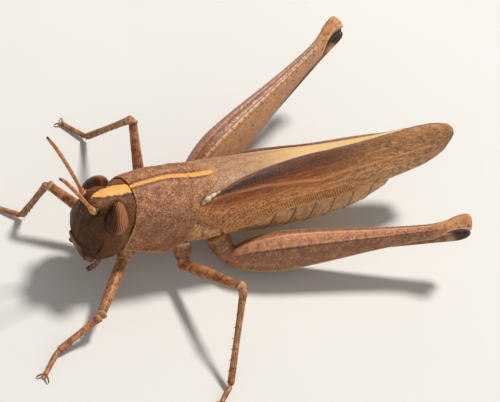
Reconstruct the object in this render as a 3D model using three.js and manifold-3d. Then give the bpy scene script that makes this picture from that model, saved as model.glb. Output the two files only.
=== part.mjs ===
// A brown bird grasshopper at rest, wings closed, hind legs folded and splayed.
//
// Millimetres. +X runs from the head to the tail, +Y to the animal's right and +Z up.
// The floor is at z = 0. Inside this file x = 0 is the front rim of the pronotum and
// y = 0 the middle of the body; the last lines move the origin to the middle of the
// bounding box, on the floor.

import * as THREE from 'three';
import { mergeVertices } from 'three/addons/utils/BufferGeometryUtils.js';
import Module from 'manifold-3d';

const wasm = await Module();
wasm.setup();

// ---------------------------------------------------------------- driving dimensions

const GAP = 0.05; // clearance between pieces that touch on the living animal
const LIMB_SIDES = 10; // flats around a leg or a feeler
const WELD = 0.002; // points closer than this are one point

const BACK_Z = 10.45; // top of the pronotum above the floor

const PRONOTUM_LENGTH = 10.4; // along the middle, to the point of the rear margin
const PRONOTUM_SIDE_LENGTH = [5.9, 7.1]; // along the side lobes, low and high
const PRONOTUM_POINT_HALF_WIDTH = 2.4; // half width of the pointed rear of the saddle
const PRONOTUM_HALF_WIDTH = [2.75, 3.3]; // front rim, rear of the side lobes
const PRONOTUM_LOW_Z = [4.45, 3.8]; // lower edge of the side lobes, front and rear
const PRONOTUM_WIDENING = 0.7; // power by which it widens from the front to the rear
const PRONOTUM_ARCH = 0.12; // rise of its middle line above the two ends
const PRONOTUM_RIM_X = 0.15; // front rim at the middle line
const PRONOTUM_RIM_DIP = 0.4; // how far the front rim curves back at mid height
const PRONOTUM_WIDEST = 0.42; // share of its height where it is widest
const PRONOTUM_ROUNDING = { above: [0.86, 0.92], below: [0.42, 0.6] }; // powers across, upward

const HEAD_TOP_Z = 10.4;
const HEAD_LOW_Z = 2.95;
const HEAD_SQUARENESS = 2.3; // power of the oval slices: 2 is an ellipse
const HEAD_LEVELS = [0, 0.05, 0.13, 0.24, 0.36, 0.48, 0.6, 0.71, 0.81, 0.89, 0.95, 0.985, 1];
const EYE_CENTRE = new THREE.Vector3(-1.8, 1.95, 9.0);
const EYE_HALF = { height: 1.65, length: 1.08, bulge: 0.85 };
const EYE_LEAN = 0.52; // radians that an eye's top leans in to the middle
const SCAPE_PROFILE = [[0, 0.3], [0.5, 0.38], [1, 0.3]]; // thickness of a feeler's first joint
const LASH_PROFILE = [[0, 0.3], [0.4, 0.28], [1, 0.25]]; // thickness of the rest of it
const SCAPE_LENGTH = 0.9;
const SCAPE_ROOT = 0.4; // how far a feeler starts inside the head

const LIP = [[4.4, 1.0, -3.3], [3.9, 1.15, -3.1], [3.2, 1.1, -2.7], [2.7, 0.85, -2.4],
  [2.5, 0.45, -2.25]]; // height, half width and place along the body of the upper lip
const LIP_HALF_THICKNESS = 0.32;
const LIP_REACH = 0.12; // how far the lip stands out in front of those places
const JAW = [[3.4, 0.55], [2.9, 0.55], [2.45, 0.42], [2.2, 0.2]]; // height, half width of a jaw
const JAW_X = -2.0;
const JAW_Y = 0.85;
const PALP = [[-1.5, 1.6, 3.6], [-1.65, 1.75, 2.7], [-2.1, 1.8, 1.8]]; // a mouth feeler's line
const PALP_PROFILE = [[0, 0.27], [1, 0.25]];

const THORAX_START_X = 5;
const THORAX_END_X = 13.4;
const ABDOMEN_END_X = 31.8;
const ABDOMEN_TIP_Z = 5.9;
const ABDOMEN_SEGMENTS = 8;
const SEGMENT_SWELL = [-0.06, 0.02, 0.04]; // front edge, middle and rear edge of a segment
const TRUNK_SQUARENESS = 2.4;

const WING_START_X = 6.1;
const WING_TIP_X = 37.2;
const WING_DRIFT = [0.1, 0.5]; // the closed pair lies a little to the right: root, tip
const WING_TOP_Z = 10.35;
const WING_THICKNESS = 0.5;
const SHOULDER_DROP = 0.25; // fall of the flat back strip from the middle to its shoulder
const WING_SLOPE = [[0.38, 0.28], [0.8, 0.62]]; // shares out and down between shoulder and edge
const WING_SLOPE_INSIDE = [0.3, 0.6]; // shares down for the same two points of the inner face

const COLOURS = {
  pronotum: 0x8c6446,
  head: 0x6b4a34,
  eye: 0x4a3526,
  mouth: 0x7a5138,
  antenna: 0xc8824a,
  thorax: 0x8a6547,
  abdomen: 0x96795a,
  tegmen: 0x96603a,
  hindLeg: 0xaf7350,
  leg: 0xb4703e,
};

// Joints of each leg, from the body out to the toe, in the resting pose.
const V = (x, y, z) => new THREE.Vector3(x, y, z);
const LEGS = {
  front_left: { coxa: V(1.2, -1.7, 4.0), hip: V(0.7, -2.35, 3.0), knee: V(-4.1, -7.4, 2.5),
    ankle: V(-8.4, -8.6, 0.5), toe: V(-10.7, -10.6, 0.24) },
  front_right: { coxa: V(1.2, 1.7, 4.0), hip: V(0.7, 2.35, 3.0), knee: V(-3.8, 5.7, 5.4),
    ankle: V(-4.5, 6.4, 0.5), toe: V(-6.4, 8.1, 0.24) },
  middle_left: { coxa: V(6.9, -2.2, 3.6), hip: V(6.9, -3.6, 2.2), knee: V(7.95, -10.3, 6.5),
    ankle: V(5.5, -16.2, 0.5), toe: V(3.9, -17.5, 0.24) },
  middle_right: { coxa: V(6.9, 2.2, 3.6), hip: V(6.4, 3.6, 2.2), knee: V(6.6, 9.65, 7.5),
    ankle: V(6.3, 13.9, 0.5), toe: V(4.9, 16.1, 0.24) },
  hind_left: { coxa: V(10.5, -2.2, 3.9), hip: V(11.2, -3.9, 2.2), knee: V(34.5, -9.1, 6.6),
    heel: V(34.2, -9.0, 5.25), ankle: V(15.2, -3.4, 0.55), toe: V(19.0, -4.3, 0.26), lean: 0 },
  hind_right: { coxa: V(10.4, 2.2, 4.3), hip: V(10.8, 4.2, 3.0), knee: V(31.9, 14.2, 10.2),
    heel: V(31.8, 14.0, 9.0), ankle: V(15.0, 5.4, 0.6), toe: V(18.7, 7.2, 0.26), lean: 0.55 },
};

// ---------------------------------------------------------------- solids from sections

/** Straight blend between a and b. */
const mix = THREE.MathUtils.lerp;

/** Value at x of a curve through [x, value] stations, smooth between them. */
function curveAt(stations, x) {
  const last = stations.length - 1;
  if (x <= stations[0][0]) return stations[0][1];
  if (x >= stations[last][0]) return stations[last][1];
  const i = stations.findIndex((station, k) => k < last && x <= stations[k + 1][0]);
  const [x0, v0] = stations[i];
  const [x1, v1] = stations[i + 1];
  const before = stations[Math.max(i - 1, 0)];
  const after = stations[Math.min(i + 2, last)];
  const slope0 = (v1 - before[1]) / (x1 - before[0]);
  const slope1 = (after[1] - v0) / (after[0] - x0);
  const t = (x - x0) / (x1 - x0);
  const span = x1 - x0;
  return (2 * t ** 3 - 3 * t ** 2 + 1) * v0 + (t ** 3 - 2 * t ** 2 + t) * span * slope0
    + (3 * t ** 2 - 2 * t ** 3) * v1 + (t ** 3 - t ** 2) * span * slope1;
}

/** A closed solid through rings of points; a ring of one point is a pole. */
function loft(rings) {
  const points = [];
  const triangles = [];
  const starts = rings.map((ring) => {
    const start = points.length;
    points.push(...ring);
    return start;
  });
  const fan = (centre, start, count, inward) => {
    for (let i = 0; i < count; i += 1) {
      const a = start + i;
      const b = start + (i + 1) % count;
      triangles.push(centre, ...(inward ? [b, a] : [a, b]));
    }
  };
  const middleOf = (ring) => ring.reduce((sum, p) => sum.add(p), V(0, 0, 0))
    .divideScalar(ring.length);
  rings.slice(1).forEach((ring, k) => {
    const previous = rings[k];
    if (previous.length === 1) fan(starts[k], starts[k + 1], ring.length, false);
    else if (ring.length === 1) fan(starts[k + 1], starts[k], previous.length, true);
    else {
      for (let i = 0; i < ring.length; i += 1) {
        const j = (i + 1) % ring.length;
        const [a, b] = [starts[k] + i, starts[k] + j];
        const [c, d] = [starts[k + 1] + i, starts[k + 1] + j];
        triangles.push(a, c, d, a, d, b);
      }
    }
  });
  const first = rings[0];
  const last = rings.at(-1);
  if (first.length > 1) {
    points.push(middleOf(first));
    fan(points.length - 1, starts[0], first.length, false);
  }
  if (last.length > 1) {
    points.push(middleOf(last));
    fan(points.length - 1, starts.at(-1), last.length, true);
  }
  const geometry = new THREE.BufferGeometry().setFromPoints(points);
  geometry.setIndex(triangles);
  return facingOut(geometry);
}

/** The same solid with its faces turned outward, judged by its signed volume. */
function facingOut(geometry) {
  const position = geometry.getAttribute('position');
  const index = geometry.getIndex().array;
  const [a, b, c] = [V(0, 0, 0), V(0, 0, 0), V(0, 0, 0)];
  let volume = 0;
  for (let i = 0; i < index.length; i += 3) {
    a.fromBufferAttribute(position, index[i]);
    b.fromBufferAttribute(position, index[i + 1]);
    c.fromBufferAttribute(position, index[i + 2]);
    volume += a.dot(b.cross(c));
  }
  if (volume < 0) geometry.setIndex(Array.from(index).reverse());
  return geometry;
}

/** Superellipse ring around a centre, in the plane of across and up. */
function ovalRing(centre, across, up, halfAcross, halfUp, power = 2, sides = LIMB_SIDES) {
  return Array.from({ length: sides }, (_, i) => {
    const angle = (2 * Math.PI * (i + 0.5)) / sides;
    const bend = (value) => Math.sign(value) * Math.abs(value) ** (2 / power);
    return centre.clone()
      .addScaledVector(across, halfAcross * bend(Math.cos(angle)))
      .addScaledVector(up, halfUp * bend(Math.sin(angle)));
  });
}

/**
 * A limb along a path of joints, never below the floor.
 * profile: [share of the length, radius] stations; flatten: width over height of the section;
 * lean: radians that the top of the section turns out from the body, for side -1 or 1.
 */
function limb(path, profile, { grow = 0, flatten = 1, steps = 4, lean = 0, sides = LIMB_SIDES } = {}) {
  const curve = path.length > 2
    ? new THREE.CatmullRomCurve3(path, false, 'centripetal')
    : new THREE.LineCurve3(...path);
  const up = V(0, Math.sin(lean), Math.cos(lean));
  const rings = [];
  for (let i = 0; i <= steps; i += 1) {
    const t = i / steps;
    const along = curve.getTangentAt(t).normalize();
    const across = V(0, 0, 0).crossVectors(up, along).normalize();
    const top = V(0, 0, 0).crossVectors(along, across);
    const past = (i === 0 ? -grow : 0) + (i === steps ? grow : 0);
    const centre = curve.getPointAt(t).addScaledVector(along, past);
    const radius = curveAt(profile, t) + grow;
    rings.push(ovalRing(centre, across, top, radius * flatten, radius, 2.1, sides));
  }
  rings.flat().forEach((point) => point.setZ(Math.max(point.z, 0)));
  return loft(rings);
}

/** Solid for cutting, from a closed geometry. */
function toSolid(geometry) {
  const bare = geometry.clone();
  bare.deleteAttribute('normal');
  bare.deleteAttribute('uv');
  const merged = mergeVertices(bare, 1e-5);
  return new wasm.Manifold(new wasm.Mesh({
    numProp: 3,
    vertProperties: new Float32Array(merged.getAttribute('position').array),
    triVerts: new Uint32Array(merged.getIndex().array),
  }));
}

/** The largest body left of a geometry when every tool is taken away from it. */
function carve(geometry, ...tools) {
  const left = tools.reduce((solid, tool) => solid.subtract(toSolid(tool)), toSolid(geometry));
  const [largest] = left.decompose().sort((a, b) => b.volume() - a.volume());
  const { vertProperties, triVerts } = largest.getMesh();
  const result = new THREE.BufferGeometry();
  result.setAttribute('position', new THREE.BufferAttribute(new Float32Array(vertProperties), 3));
  result.setIndex(new THREE.BufferAttribute(new Uint32Array(triVerts), 1));
  return withoutSlivers(result);
}

/** The same geometry with points closer than WELD made one, and the flat triangles dropped. */
function withoutSlivers(geometry) {
  const merged = mergeVertices(geometry, WELD);
  const index = Array.from(merged.getIndex().array);
  const kept = [];
  for (let i = 0; i < index.length; i += 3) {
    const [a, b, c] = index.slice(i, i + 3);
    if (a !== b && b !== c && c !== a) kept.push(a, b, c);
  }
  merged.setIndex(kept);
  return merged;
}

// ---------------------------------------------------------------- the group of named pieces

const grasshopper = new THREE.Group();

function addPiece(name, geometry, colour, roughness = 0.6) {
  const material = new THREE.MeshStandardMaterial({ color: colour, roughness, metalness: 0 });
  geometry.computeVertexNormals();
  const mesh = new THREE.Mesh(geometry, material);
  mesh.name = name;
  grasshopper.add(mesh);
}

const SIDES = { left: -1, right: 1 };

// ---------------------------------------------------------------- pronotum

/** The saddle behind the head: an arch with hanging side lobes and a pointed rear. */
function pronotum(grow = 0) {
  const lengthwise = 9;
  const around = 20;
  const rings = [];
  for (let k = 0; k <= lengthwise; k += 1) {
    const t = k / lengthwise;
    const halfWidth = mix(...PRONOTUM_HALF_WIDTH, t ** PRONOTUM_WIDENING) + grow;
    const lowZ = mix(...PRONOTUM_LOW_Z, t) - grow;
    const topZ = BACK_Z + PRONOTUM_ARCH * Math.sin(Math.PI * t) + grow;
    const middleZ = mix(lowZ, topZ, PRONOTUM_WIDEST);
    const ring = [];
    for (let i = 0; i < around; i += 1) {
      const angle = (2 * Math.PI * (i + 0.5)) / around;
      const upward = Math.sin(angle);
      const outward = Math.cos(angle);
      const [across, rise] = upward > 0 ? PRONOTUM_ROUNDING.above : PRONOTUM_ROUNDING.below;
      const reach = upward > 0 ? topZ - middleZ : lowZ - middleZ;
      const y = halfWidth * Math.sign(outward) * Math.abs(outward) ** across;
      const z = middleZ + reach * Math.abs(upward) ** rise;
      const height = THREE.MathUtils.clamp((z - lowZ) / (topZ - lowZ), 0, 1);
      const sideX = mix(...PRONOTUM_SIDE_LENGTH, height);
      const inward = Math.max(1 - Math.abs(y) / PRONOTUM_POINT_HALF_WIDTH, 0);
      const rearX = height > 0.5 ? mix(sideX, PRONOTUM_LENGTH, inward) : sideX;
      const frontX = PRONOTUM_RIM_X + PRONOTUM_RIM_DIP * Math.sin(Math.PI * height);
      ring.push(V(mix(frontX - grow, rearX + grow, t), y, z));
    }
    rings.push(ring);
  }
  return loft(rings);
}

// ---------------------------------------------------------------- head

const HEAD_FRONT = [[2.95, -2.7], [4, -3.35], [5.4, -3.85], [6.8, -4.1], [8.2, -4.15],
  [9.2, -4.05], [9.9, -3.9], [10.4, -2.9]];
const HEAD_REAR = [[2.95, -0.8], [4, 0.2], [5.4, 0.8], [7, 1.0], [9, 1.0], [9.9, 0.8], [10.4, -0.3]];
const HEAD_HALF_WIDTH = [[2.95, 1.5], [3.6, 2.2], [4.6, 2.75], [5.8, 2.85], [7, 2.55], [8.2, 2.15],
  [9.2, 1.8], [9.9, 1.35], [10.4, 0.5]];

/** The head capsule: level slices from the mouth up to the crown. */
function headCapsule(grow = 0) {
  const rings = HEAD_LEVELS.map((level) => {
    const z = mix(HEAD_LOW_Z, HEAD_TOP_Z, level);
    const front = curveAt(HEAD_FRONT, z) - grow;
    const rear = curveAt(HEAD_REAR, z) + grow;
    const centre = V((front + rear) / 2, 0, z + grow * (2 * level - 1));
    return ovalRing(centre, V(1, 0, 0), V(0, 1, 0), (rear - front) / 2,
      curveAt(HEAD_HALF_WIDTH, z) + grow, HEAD_SQUARENESS, 24);
  });
  return loft(rings);
}

/** A compound eye: a tilted egg set in the side of the head. */
function eye(side, grow = 0) {
  const sphere = new THREE.SphereGeometry(1, 14, 10);
  sphere.scale(EYE_HALF.length + grow, EYE_HALF.bulge + grow, EYE_HALF.height + grow);
  sphere.rotateX(side * EYE_LEAN);
  sphere.translate(EYE_CENTRE.x, side * EYE_CENTRE.y, EYE_CENTRE.z);
  return welded(sphere);
}

/** The same geometry with its seam closed. */
function welded(geometry) {
  geometry.deleteAttribute('normal');
  geometry.deleteAttribute('uv');
  return mergeVertices(geometry, 1e-5);
}

const ANTENNAE = {
  left: [V(-3.65, -0.95, 9.1), V(-4.3, -1.0, 9.8), V(-6.4, -1.05, 12.2), V(-8.4, -1.05, 14.3),
    V(-10.1, -2.0, 16.2)],
  right: [V(-3.6, 0.95, 9.1), V(-4.2, 1.05, 9.85), V(-5.8, 1.6, 12.2), V(-7.4, 2.5, 14.3),
    V(-9.0, 2.6, 16.2)],
};
function addHead() {
  const saddle = pronotum(GAP);
  const eyeSockets = Object.values(SIDES).map((side) => eye(side, GAP));
  addPiece('head', carve(headCapsule(), saddle, ...eyeSockets), COLOURS.head, 0.5);
  for (const [side, sign] of Object.entries(SIDES)) {
    addPiece(`eye_${side}`, carve(eye(sign), saddle), COLOURS.eye, 0.2);
    const [root, ...rest] = ANTENNAE[side];
    const outward = rest[0].clone().sub(root).normalize();
    const start = root.clone().addScaledVector(outward, -SCAPE_ROOT);
    const scapeEnd = root.clone().addScaledVector(outward, SCAPE_LENGTH);
    const scape = limb([start, scapeEnd], SCAPE_PROFILE);
    addPiece(`antenna_scape_${side}`, carve(scape, headCapsule(GAP)), COLOURS.antenna);
    const lashStart = scapeEnd.clone().addScaledVector(outward, GAP);
    const lash = limb([lashStart, ...rest.slice(1)], LASH_PROFILE, { steps: 9 });
    addPiece(`antenna_${side}`, lash, COLOURS.antenna);
  }
}

/** Upper lip, jaws and feelers of the mouth, under and in front of the head. */
function addMouth() {
  const lipRings = LIP.map(([z, halfWidth, x]) => ovalRing(V(x - LIP_REACH, 0, z), V(1, 0, 0),
    V(0, 1, 0), LIP_HALF_THICKNESS, halfWidth, 2.6, 12));
  addPiece('labrum', carve(loft(lipRings), headCapsule(GAP)), COLOURS.mouth);
  for (const [side, sign] of Object.entries(SIDES)) {
    const jaw = JAW.map(([z, radius]) => ovalRing(V(JAW_X, sign * JAW_Y, z), V(1, 0, 0),
      V(0, 1, 0), radius * 0.8, radius, 2.2, 10));
    addPiece(`mandible_${side}`, carve(loft(jaw), headCapsule(GAP), loft(lipRings)), COLOURS.mouth);
    const palp = limb(PALP.map(([x, y, z]) => V(x, sign * y, z)), PALP_PROFILE);
    addPiece(`palp_${side}`, carve(palp, headCapsule(GAP)), COLOURS.mouth);
  }
}

// ---------------------------------------------------------------- thorax and abdomen

/** Half width, top and bottom of the trunk behind the pronotum, by distance along it. */
const TRUNK_HALF_WIDTH = [[5, 2.9], [8, 3.15], [11, 3.05], [13.4, 2.95], [17, 2.9], [21, 2.8],
  [25, 2.5], [28, 2.05], [31.5, 0.9]];
const TRUNK_TOP = [[5, 9.6], [9, 9.7], [13.4, 9.2], [17, 8.7], [21, 8.3], [25, 7.9], [28, 7.4],
  [31.5, 6.6]];
const TRUNK_BOTTOM = [[5, 3.05], [8, 2.9], [11, 2.85], [13.4, 2.7], [17, 2.5], [21, 2.45], [25, 2.8],
  [28, 3.6], [31.5, 5.0]];

function trunkRing(x, swell = 0, sides = 18) {
  const top = curveAt(TRUNK_TOP, x) + swell;
  const bottom = curveAt(TRUNK_BOTTOM, x) - swell;
  return ovalRing(V(x, 0, (top + bottom) / 2), V(0, 1, 0), V(0, 0, 1),
    curveAt(TRUNK_HALF_WIDTH, x) + swell, (top - bottom) / 2, TRUNK_SQUARENESS, sides);
}

function thorax(grow = 0) {
  const xs = [THORAX_START_X - grow, 6.5, 8.5, 10.5, 12.2, THORAX_END_X + grow];
  return loft(xs.map((x) => trunkRing(x, grow, 22)));
}

function addTrunk() {
  const covers = Object.values(SIDES).map((side) => tegmen(side, GAP));
  addPiece('pronotum', pronotum(), COLOURS.pronotum, 0.75);
  addPiece('thorax', carve(thorax(), pronotum(GAP), ...covers), COLOURS.thorax);
  const start = THORAX_END_X + GAP;
  const segmentLength = (ABDOMEN_END_X - start) / ABDOMEN_SEGMENTS;
  for (let i = 0; i < ABDOMEN_SEGMENTS; i += 1) {
    const from = start + i * segmentLength;
    const to = from + segmentLength - GAP;
    const xs = [from, mix(from, to, 0.45), to];
    const rings = xs.map((x, k) => trunkRing(x, SEGMENT_SWELL[k]));
    if (i === ABDOMEN_SEGMENTS - 1) rings[2] = [V(to, 0, ABDOMEN_TIP_Z)];
    addPiece(`abdomen_${i + 1}`, carve(loft(rings), ...covers), COLOURS.abdomen);
  }
}

// ---------------------------------------------------------------- fore wings

/** Shoulder, hanging edge and crest of a closed fore wing, by distance along the body. */
const WING_SHOULDER = [[7, 1.95], [10, 1.85], [13, 1.65], [18, 1.2], [24, 0.75], [30, 0.55],
  [WING_TIP_X, 0.45]];
const WING_LOW_Y = [[7, 3.2], [9, 3.65], [12, 3.8], [15, 3.6], [18, 3.35], [22, 3.1], [28, 2.6],
  [33, 1.8], [36, 1.1], [WING_TIP_X, 0.65]];
const WING_LOW_Z = [[7, 8.2], [8, 7.4], [9.5, 6.6], [11.5, 6.15], [13.5, 6.3], [15.5, 6.9], [18, 6.9],
  [22, 6.55], [27, 6.9], [31, 6.9], [34, 6.9], [35.6, 7.3], [36.6, 7.9], [WING_TIP_X, 8.6]];
const WING_CREST_Z = [[7, 9.75], [9, 10.1], [12, WING_TOP_Z], [34, WING_TOP_Z], [35.6, 10.15],
  [36.6, 9.8], [WING_TIP_X, 9.3]];

/** A fore wing: a flat back strip and a side that hangs like a roof, one bent sheet. */
function tegmen(side, grow = 0) {
  const xs = [WING_START_X, 7.5, 9, 11, 13.5, 16.5, 20, 24, 28, 31.5, 34.2, 35.8, 36.8, WING_TIP_X];
  const rings = xs.map((x) => {
    const crest = curveAt(WING_CREST_Z, x);
    const low = curveAt(WING_LOW_Z, x);
    const shoulder = curveAt(WING_SHOULDER, x);
    const flare = curveAt(WING_LOW_Y, x);
    const inner = GAP / 2;
    const slope = WING_SLOPE.map(([out, down]) => [mix(shoulder, flare, out), mix(crest, low, down)]);
    // outer line, from the middle of the back out to the hanging edge
    const outer = [
      [inner, crest],
      [shoulder * 0.6, crest - 0.02],
      [shoulder, crest - SHOULDER_DROP],
      ...slope,
      [flare, low],
    ];
    // the same line one thickness further in, kept on this side of the middle
    const inside = (y, step) => Math.max(y, inner + step);
    const depth = WING_THICKNESS;
    const [high, middle] = WING_SLOPE_INSIDE.map((down) => mix(crest, low, down));
    const under = [
      [flare - depth * 0.95, low + 0.02],
      [slope[1][0] - depth, middle],
      [inside(slope[0][0] - depth, 0.05), high],
      [inside(shoulder - depth, 0.04), crest - SHOULDER_DROP - depth],
      [inside(shoulder * 0.6 - depth * 0.2, 0.02), crest - 0.05 - depth],
      [inner, crest - depth],
    ];
    const drift = mix(...WING_DRIFT, (x - WING_START_X) / (WING_TIP_X - WING_START_X));
    return [...outer, ...under].map(([y, z]) => V(x, side * y + drift, z));
  });
  if (!grow) return loft(rings);
  return loft(rings.map((ring) => swollen(ring, grow)));
}

/** A ring pushed outward from its own outline by a small distance. */
function swollen(ring, grow) {
  return ring.map((point, i) => {
    const before = ring[(i + ring.length - 1) % ring.length];
    const after = ring[(i + 1) % ring.length];
    const run = after.clone().sub(before).normalize();
    const turn = Math.sign(signedArea(ring));
    return point.clone().add(V(0, run.z, -run.y).multiplyScalar(turn * grow));
  });
}

/** Signed area of a ring in the plane across the body. */
function signedArea(ring) {
  return ring.reduce((sum, p, i) => {
    const q = ring[(i + 1) % ring.length];
    return sum + p.y * q.z - q.y * p.z;
  }, 0) / 2;
}

function addWings() {
  const saddle = pronotum(GAP);
  for (const [side, sign] of Object.entries(SIDES)) {
    addPiece(`tegmen_${side}`, carve(tegmen(sign), saddle), COLOURS.tegmen);
  }
}

// ---------------------------------------------------------------- legs

const SMALL_LEG = {
  coxa: [[0, 0.75], [0.5, 0.8], [1, 0.6]],
  femur: [[0, 0.45], [0.3, 0.56], [0.7, 0.5], [0.9, 0.46], [1, 0.4]],
  tibia: [[0, 0.38], [0.3, 0.34], [0.8, 0.34], [1, 0.36]],
  tarsus: [[0, 0.27], [1, 0.25]],
};
const HIND_LEG = {
  coxa: [[0, 1.0], [0.5, 1.05], [1, 0.8]],
  femur: [[0, 0.5], [0.04, 1.2], [0.1, 1.8], [0.2, 2.2], [0.3, 2.12], [0.42, 1.83], [0.6, 1.3],
    [0.71, 1.05], [0.83, 0.86], [0.88, 0.9], [0.94, 1.15], [0.98, 1.1], [1, 0.7]],
  tibia: [[0, 0.45], [0.05, 0.5], [0.15, 0.4], [0.8, 0.36], [1, 0.42]],
  tarsus: [[0, 0.3], [1, 0.26]],
};
const HIND_FEMUR_FLATTEN = 0.64;

function addLeg(name, { coxa, hip, knee, heel = knee, ankle, toe, lean = 0 }) {
  const hind = name.startsWith('hind');
  const size = hind ? HIND_LEG : SMALL_LEG;
  const colour = hind ? COLOURS.hindLeg : COLOURS.leg;
  const femurShape = hind ? { steps: 20, flatten: HIND_FEMUR_FLATTEN, sides: 12, lean } : {};
  const coxaTube = (grow) => limb([coxa, hip], size.coxa, { grow, steps: 3 });
  const femurTube = (grow) => limb([hip, knee], size.femur, { ...femurShape, grow });
  const tibiaTube = (grow) => limb([heel, ankle], size.tibia, { grow, steps: 6 });
  const tarsusTube = (grow) => limb([ankle.clone().setZ(toe.z), toe], size.tarsus, { grow });
  const body = [pronotum(GAP), thorax(GAP)];
  const covers = Object.values(SIDES).map((side) => tegmen(side, GAP));
  addPiece(`${name}_coxa`, carve(coxaTube(0), ...body), colour);
  addPiece(`${name}_femur`, carve(femurTube(0), coxaTube(GAP), ...body, ...covers), colour);
  addPiece(`${name}_tibia`, carve(tibiaTube(0), femurTube(GAP), tarsusTube(GAP)), colour);
  addPiece(`${name}_tarsus`, tarsusTube(0), colour);
}

// ---------------------------------------------------------------- assembly

addHead();
addMouth();
addTrunk();
addWings();
Object.entries(LEGS).forEach(([name, joints]) => addLeg(name, joints));

const box = new THREE.Box3().setFromObject(grasshopper);
grasshopper.position.set(-(box.min.x + box.max.x) / 2, -(box.min.y + box.max.y) / 2, -box.min.z);
grasshopper.updateMatrixWorld(true);

export default grasshopper;
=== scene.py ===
"""A brown bird grasshopper at rest, as a life-size display model.

Each operator models one part of the animal in millimetres, in the animal's own frame:
x = 0 is the front rim of the pronotum, y = 0 the middle of the body, z = 0 the floor,
+X runs to the tail and +Y to the animal's right. settle() then moves the part into the
row's frame, in metres.

Each part's named values stand at the head of its section. A line of (place, value) stations
is read as a smooth curve by curve(). Skins are drawn with two shares from 0 to 1: run goes along
a part and turn goes around it. A relief is a sum of shapes in millimetres, and a mark is a sum of
shapes from 0 to 1. The number before a shape is its height or strength, and the numbers inside
bump() and fade() are its width or limits, in the units of what they measure.
"""

import math
import random
from functools import partial

import bmesh
import bpy
import numpy as np
from mathutils import Matrix, Vector


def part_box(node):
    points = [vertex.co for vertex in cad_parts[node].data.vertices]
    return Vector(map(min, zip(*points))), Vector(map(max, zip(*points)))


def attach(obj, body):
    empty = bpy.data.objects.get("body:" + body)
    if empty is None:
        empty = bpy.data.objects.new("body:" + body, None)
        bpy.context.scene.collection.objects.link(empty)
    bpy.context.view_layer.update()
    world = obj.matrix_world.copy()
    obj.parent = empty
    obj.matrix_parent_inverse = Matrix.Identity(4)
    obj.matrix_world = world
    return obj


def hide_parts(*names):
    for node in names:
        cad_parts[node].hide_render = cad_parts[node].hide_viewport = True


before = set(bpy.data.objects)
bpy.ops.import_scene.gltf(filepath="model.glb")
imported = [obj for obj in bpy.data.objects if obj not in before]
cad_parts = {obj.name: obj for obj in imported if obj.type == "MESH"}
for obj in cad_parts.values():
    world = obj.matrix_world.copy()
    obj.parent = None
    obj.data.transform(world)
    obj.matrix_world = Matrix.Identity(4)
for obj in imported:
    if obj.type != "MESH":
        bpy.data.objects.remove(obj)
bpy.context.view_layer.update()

bl_info = {
    "name": "Resting grasshopper",
    "version": (1, 0, 0),
    "blender": (4, 5, 0),
    "location": "View3D > Sidebar > Grasshopper",
    "description": "Models a life-size brown bird grasshopper around its packed frame",
    "category": "Add Mesh",
}

MM = 0.001
SIDES = {"left": -1, "right": 1}
WING_TIP = 37.2

# The animal's own frame starts here in the row's frame, in millimetres.
ORIGIN = Vector((
    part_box("tegmen_left")[1].x / MM - WING_TIP,
    (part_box("eye_left")[0].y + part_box("eye_right")[1].y) / 2 / MM,
    0,
))


def rgb(red, green, blue):
    """A colour of 0 to 255 parts as the shader's linear numbers."""
    parts = [part / 255 for part in (red, green, blue)]
    return (*(((p + 0.055) / 1.055) ** 2.4 if p > 0.04045 else p / 12.92 for p in parts), 1.0)


# ---------------------------------------------------------------- curves and distances


def mix(a, b, share):
    """Straight blend between a and b."""
    return a + (b - a) * share


def fade(low, high, value):
    """0 at low, 1 at high and smooth between them, whichever of the two is larger."""
    share = np.clip((np.asarray(value, float) - low) / (high - low), 0, 1)
    return share * share * (3 - 2 * share)


def bump(distance, width):
    """1 at distance 0, falling away over about the width."""
    return np.exp(-(np.asarray(distance, float) / width) ** 2)


def unit(vectors):
    """The same vectors with length 1."""
    return vectors / np.linalg.norm(vectors, axis=-1, keepdims=True)


def smooth(knots, values, at):
    """A smooth line through values at knots; each value is a number or a row with one per place."""
    knots = np.array(knots, float)
    at = np.clip(np.asarray(at, float), knots[0], knots[-1])
    rows = np.broadcast_to(np.reshape(values, (len(knots), -1)), (len(knots), at.size))
    each = np.arange(at.size).reshape(at.shape)
    k = np.clip(np.searchsorted(knots, at, side="right") - 1, 0, len(knots) - 2)
    before = np.maximum(k - 1, 0)
    after = np.minimum(k + 2, len(knots) - 1)
    span = knots[k + 1] - knots[k]
    first, last = rows[k, each], rows[k + 1, each]
    leaving = (last - rows[before, each]) / (knots[k + 1] - knots[before]) * span
    arriving = (rows[after, each] - first) / (knots[after] - knots[k]) * span
    t = (at - knots[k]) / span
    return ((2 * t**3 - 3 * t**2 + 1) * first + (t**3 - 2 * t**2 + t) * leaving
            + (3 * t**2 - 2 * t**3) * last + (t**3 - t**2) * arriving)


def curve(stations, x):
    """Value at x of a smooth curve through (x, value) stations."""
    return smooth(*zip(*stations), x)


def route(path, share):
    """Points and directions of a smooth line through path's points, at shares of its length."""
    path = np.array(path, float)
    steps = np.linalg.norm(np.diff(path, axis=0), axis=1)
    knots = np.concatenate([[0], np.cumsum(steps)]) / steps.sum()
    nudge = 0.004

    def point(t):
        """Points of the line at the shares t."""
        return np.stack([smooth(knots, path[:, axis], t) for axis in range(3)], -1)

    ahead = point(np.clip(share + nudge, 0, 1)) - point(np.clip(share - nudge, 0, 1))
    return point(share), unit(ahead)


def distance_to(points, path):
    """Distance of each point from a line through path's points."""
    nearest = np.full(len(points), np.inf)
    for a, b in zip(path[:-1], path[1:]):
        a, b = np.array(a, float), np.array(b, float)
        share = np.clip((points - a) @ (b - a) / ((b - a) @ (b - a)), 0, 1)
        nearest = np.minimum(nearest, np.linalg.norm(points - a - share[:, None] * (b - a), axis=1))
    return nearest


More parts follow.
